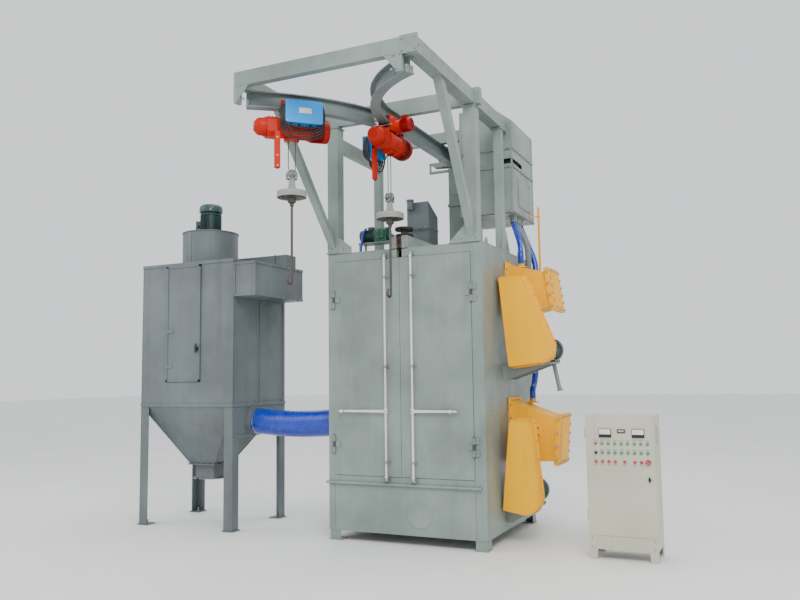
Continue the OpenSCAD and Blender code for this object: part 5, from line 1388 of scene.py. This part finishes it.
def panel_instruments():
    """Meters, counter, lamps, bezels, name plates, lock and seal of the control door."""
    p = Piece("panel_instruments_detail")
    for x in (2.013, 2.312):
        meter(p, x)
    p.use(COUNTER).block((2.1605, PANEL_Y - 0.005, 1.1725), 0.0365, 0.005, 0.0175)
    p.use(DARK).block((2.1605, PANEL_Y - 0.0105, 1.1735), 0.026, 0.0006, 0.008)
    p.use(WHITE)
    for k in range(5):
        p.block((2.1405 + 0.01 * k, PANEL_Y - 0.0114, 1.1735), 0.0036, 0.0003, 0.006)
    for i in range(9):
        p.use(ZINC).lathe(on_panel(i, LAMP_Z), -Y, [(0, 0.0155), (0.003, 0.0155), (0.006, 0.0135),
            (0.006, 0.0115)], 28)
        p.use(GREEN if i else RED).lathe(on_panel(i, LAMP_Z, 0.002), -Y, [(0, 0.0115), (0.008, 0.0115),
            (0.011, 0.0095), (0.013, 0.005), (0.0135, 0)], 28)
        p.use(PLATE).block(on_panel(i, 1.086, 0.0008), 0.019, 0.0009, 0.006)
        if i:
            p.block(on_panel(i, 1.001, 0.0008), 0.019, 0.0009, 0.006)
    p.use(ZINC).lathe(on_panel(0, START_Z), -Y, [(0, 0.0165), (0.002, 0.0165), (0.002, 0.0118)], 28)
    for i in range(1, 9):
        p.lathe(on_panel(i, START_Z), -Y, BEZEL, 28)
    for column in STOP_COLUMNS:
        p.use(ZINC).lathe(on_panel(column, STOP_Z), -Y, BEZEL, 28)
        p.use(PLATE).block(on_panel(column, 0.862, 0.0008), 0.019, 0.0009, 0.006)
    p.use(ZINC).lathe(on_panel(8, STOP_Z), -Y, [(0, 0.03), (0.0015, 0.03), (0.0015, 0.018)], 36)
    lock = Vector((high("control_door").x - 0.051, PANEL_Y, 0.738))
    p.lathe(lock, -Y, [(0, 0.018), (0.003, 0.018), (0.005, 0.015), (0.012, 0.014), (0.012, 0)], 32)
    p.use(DARK).prism([(-0.007, -0.022), (0.007, -0.022), (0.009, 0.006), (0.005, 0.024), (-0.005, 0.024),
        (-0.009, 0.006)], lock - Y * 0.012, X, Z, -Y * 0.007)
    # rubber seal round the inside of the door
    p.use(BLACK)
    for z in (0.24, 1.29):
        p.block((2.141, PANEL_Y + 0.0205, z), 0.285, 0.001, 0.006)
    for x in (1.856, 2.426):
        p.block((x, PANEL_Y + 0.0205, 0.765), 0.006, 0.001, 0.52)
    p.done("control_door", 0.0005, ("panel_instruments",))


def push_buttons(node, columns, z, cap):
    p = Piece(node + "_detail")
    for column in columns:
        p.use(cap).lathe(on_panel(column, z, 0.006), -Y, [(0, 0), (0, 0.0125), (0.006, 0.0128),
            (0.008, 0.0115), (0.0072, 0.0105), (0.0066, 0)], 32)
        p.use(WHITE).rod(on_panel(column, z, -0.029), on_panel(column, z, 0.0055), 0.0108, 20)
    p.done(node, 0.0003, (node,))


def emergency_stop():
    p = Piece("emergency_stop_detail")
    p.use(RED).lathe(on_panel(8, STOP_Z, 0.006), -Y, [(0, 0), (0, 0.015), (0.008, 0.015), (0.012, 0.021),
        (0.019, 0.0215), (0.0235, 0.018), (0.0245, 0)], 40)
    p.use(WHITE)
    for k in range(3):
        out = spoke(Y, 2 * pi * k / 3)
        p.slab(on_panel(8, STOP_Z, 0.0305) + out * 0.011, out * 0.004, Y.cross(out) * 0.0008, Y * 0.0003)
    p.use(DARK).rod(on_panel(8, STOP_Z, -0.029), on_panel(8, STOP_Z, 0.01), 0.0165, 28)
    p.done("emergency_stop", 0.0003, ("emergency_stop",))


def selector_switch():
    p = Piece("selector_switch_detail")
    p.use(DARK).lathe(on_panel(0, SELECTOR_Z, 0.002), -Y, [(0, 0), (0, 0.0148), (0.004, 0.0148),
        (0.006, 0.0125), (0.006, 0)], 32)
    p.prism([(-0.0045, -0.014), (0.0045, -0.014), (0.0035, 0.014), (-0.0035, 0.014)],
        on_panel(0, SELECTOR_Z, 0.007), X, Z, -Y * 0.0145)
    p.use(WHITE).block(on_panel(0, SELECTOR_Z + 0.009, 0.0216), 0.0008, 0.0003, 0.0045)
    p.use(DARK).rod(on_panel(0, SELECTOR_Z, -0.029), on_panel(0, SELECTOR_Z, 0.003), 0.0108, 20)
    p.done("selector_switch", 0.0003, ("selector_switch",))


def cabinet_details():
    """Louvres on both sides, plinth, foot plates and plinth bolts of the control cabinet."""
    lo, hi = low("control_cabinet_body"), high("control_cabinet_body")
    p = Piece("control_cabinet_details")
    p.use(PANEL)
    for x, k in ((1.83, -1), (hi.x, 1)):
        for n in range(8):
            p.prism([(0, 0), (0.01, 0.003), (0.01, 0.004), (0, 0.012)],
                (x + k * 0.0012, -0.62, 1.06 + 0.022 * n), X * k, Z, Y * 0.18)
    p.block((2.141, lo.y + 0.005, 0.152), 0.295, 0.001, 0.055)
    for x in (1.869, hi.x - 0.039):
        for y, out in ((lo.y, -Y), (hi.y - 0.004, Y)):
            p.prism([(-0.04, 0.089), (-0.029, 0), (0.029, 0), (0.04, 0.089)], (x, y, 0), X, Z,
                out * 0.003)
    for x in (1.862, 2.42):
        p.bolts((x, -0.7405, 0.115), (x, -0.7405, 0.19), 2, -Y, 0.0055)
    p.done("machine", 0.0006)


make_camera()
make_floor()
make_light()
dress_nodes()
for side in (-1, 1):
    lock_rod(side)
    door_details(side)
    hoist(side)
    ropes(side)
    hook_block(side)
    hook_rod(side)
chamber_details()
roof_brush()
frame_details()
spin_drive()
friction_wheel()
vent_details()
elevator_details()
elevator_drive()
separator_details()
wheel_casing_details()
belt_guard_details()
wheel_motors()
feed_hoses()
feed_pipes()
duct()
collector_details()
collector_door_details()
fan_details()
fan_motor()
panel_instruments()
push_buttons("start_buttons", range(1, 9), START_Z, GREEN)
push_buttons("stop_buttons", STOP_COLUMNS, STOP_Z, RED)
emergency_stop()
selector_switch()
cabinet_details()
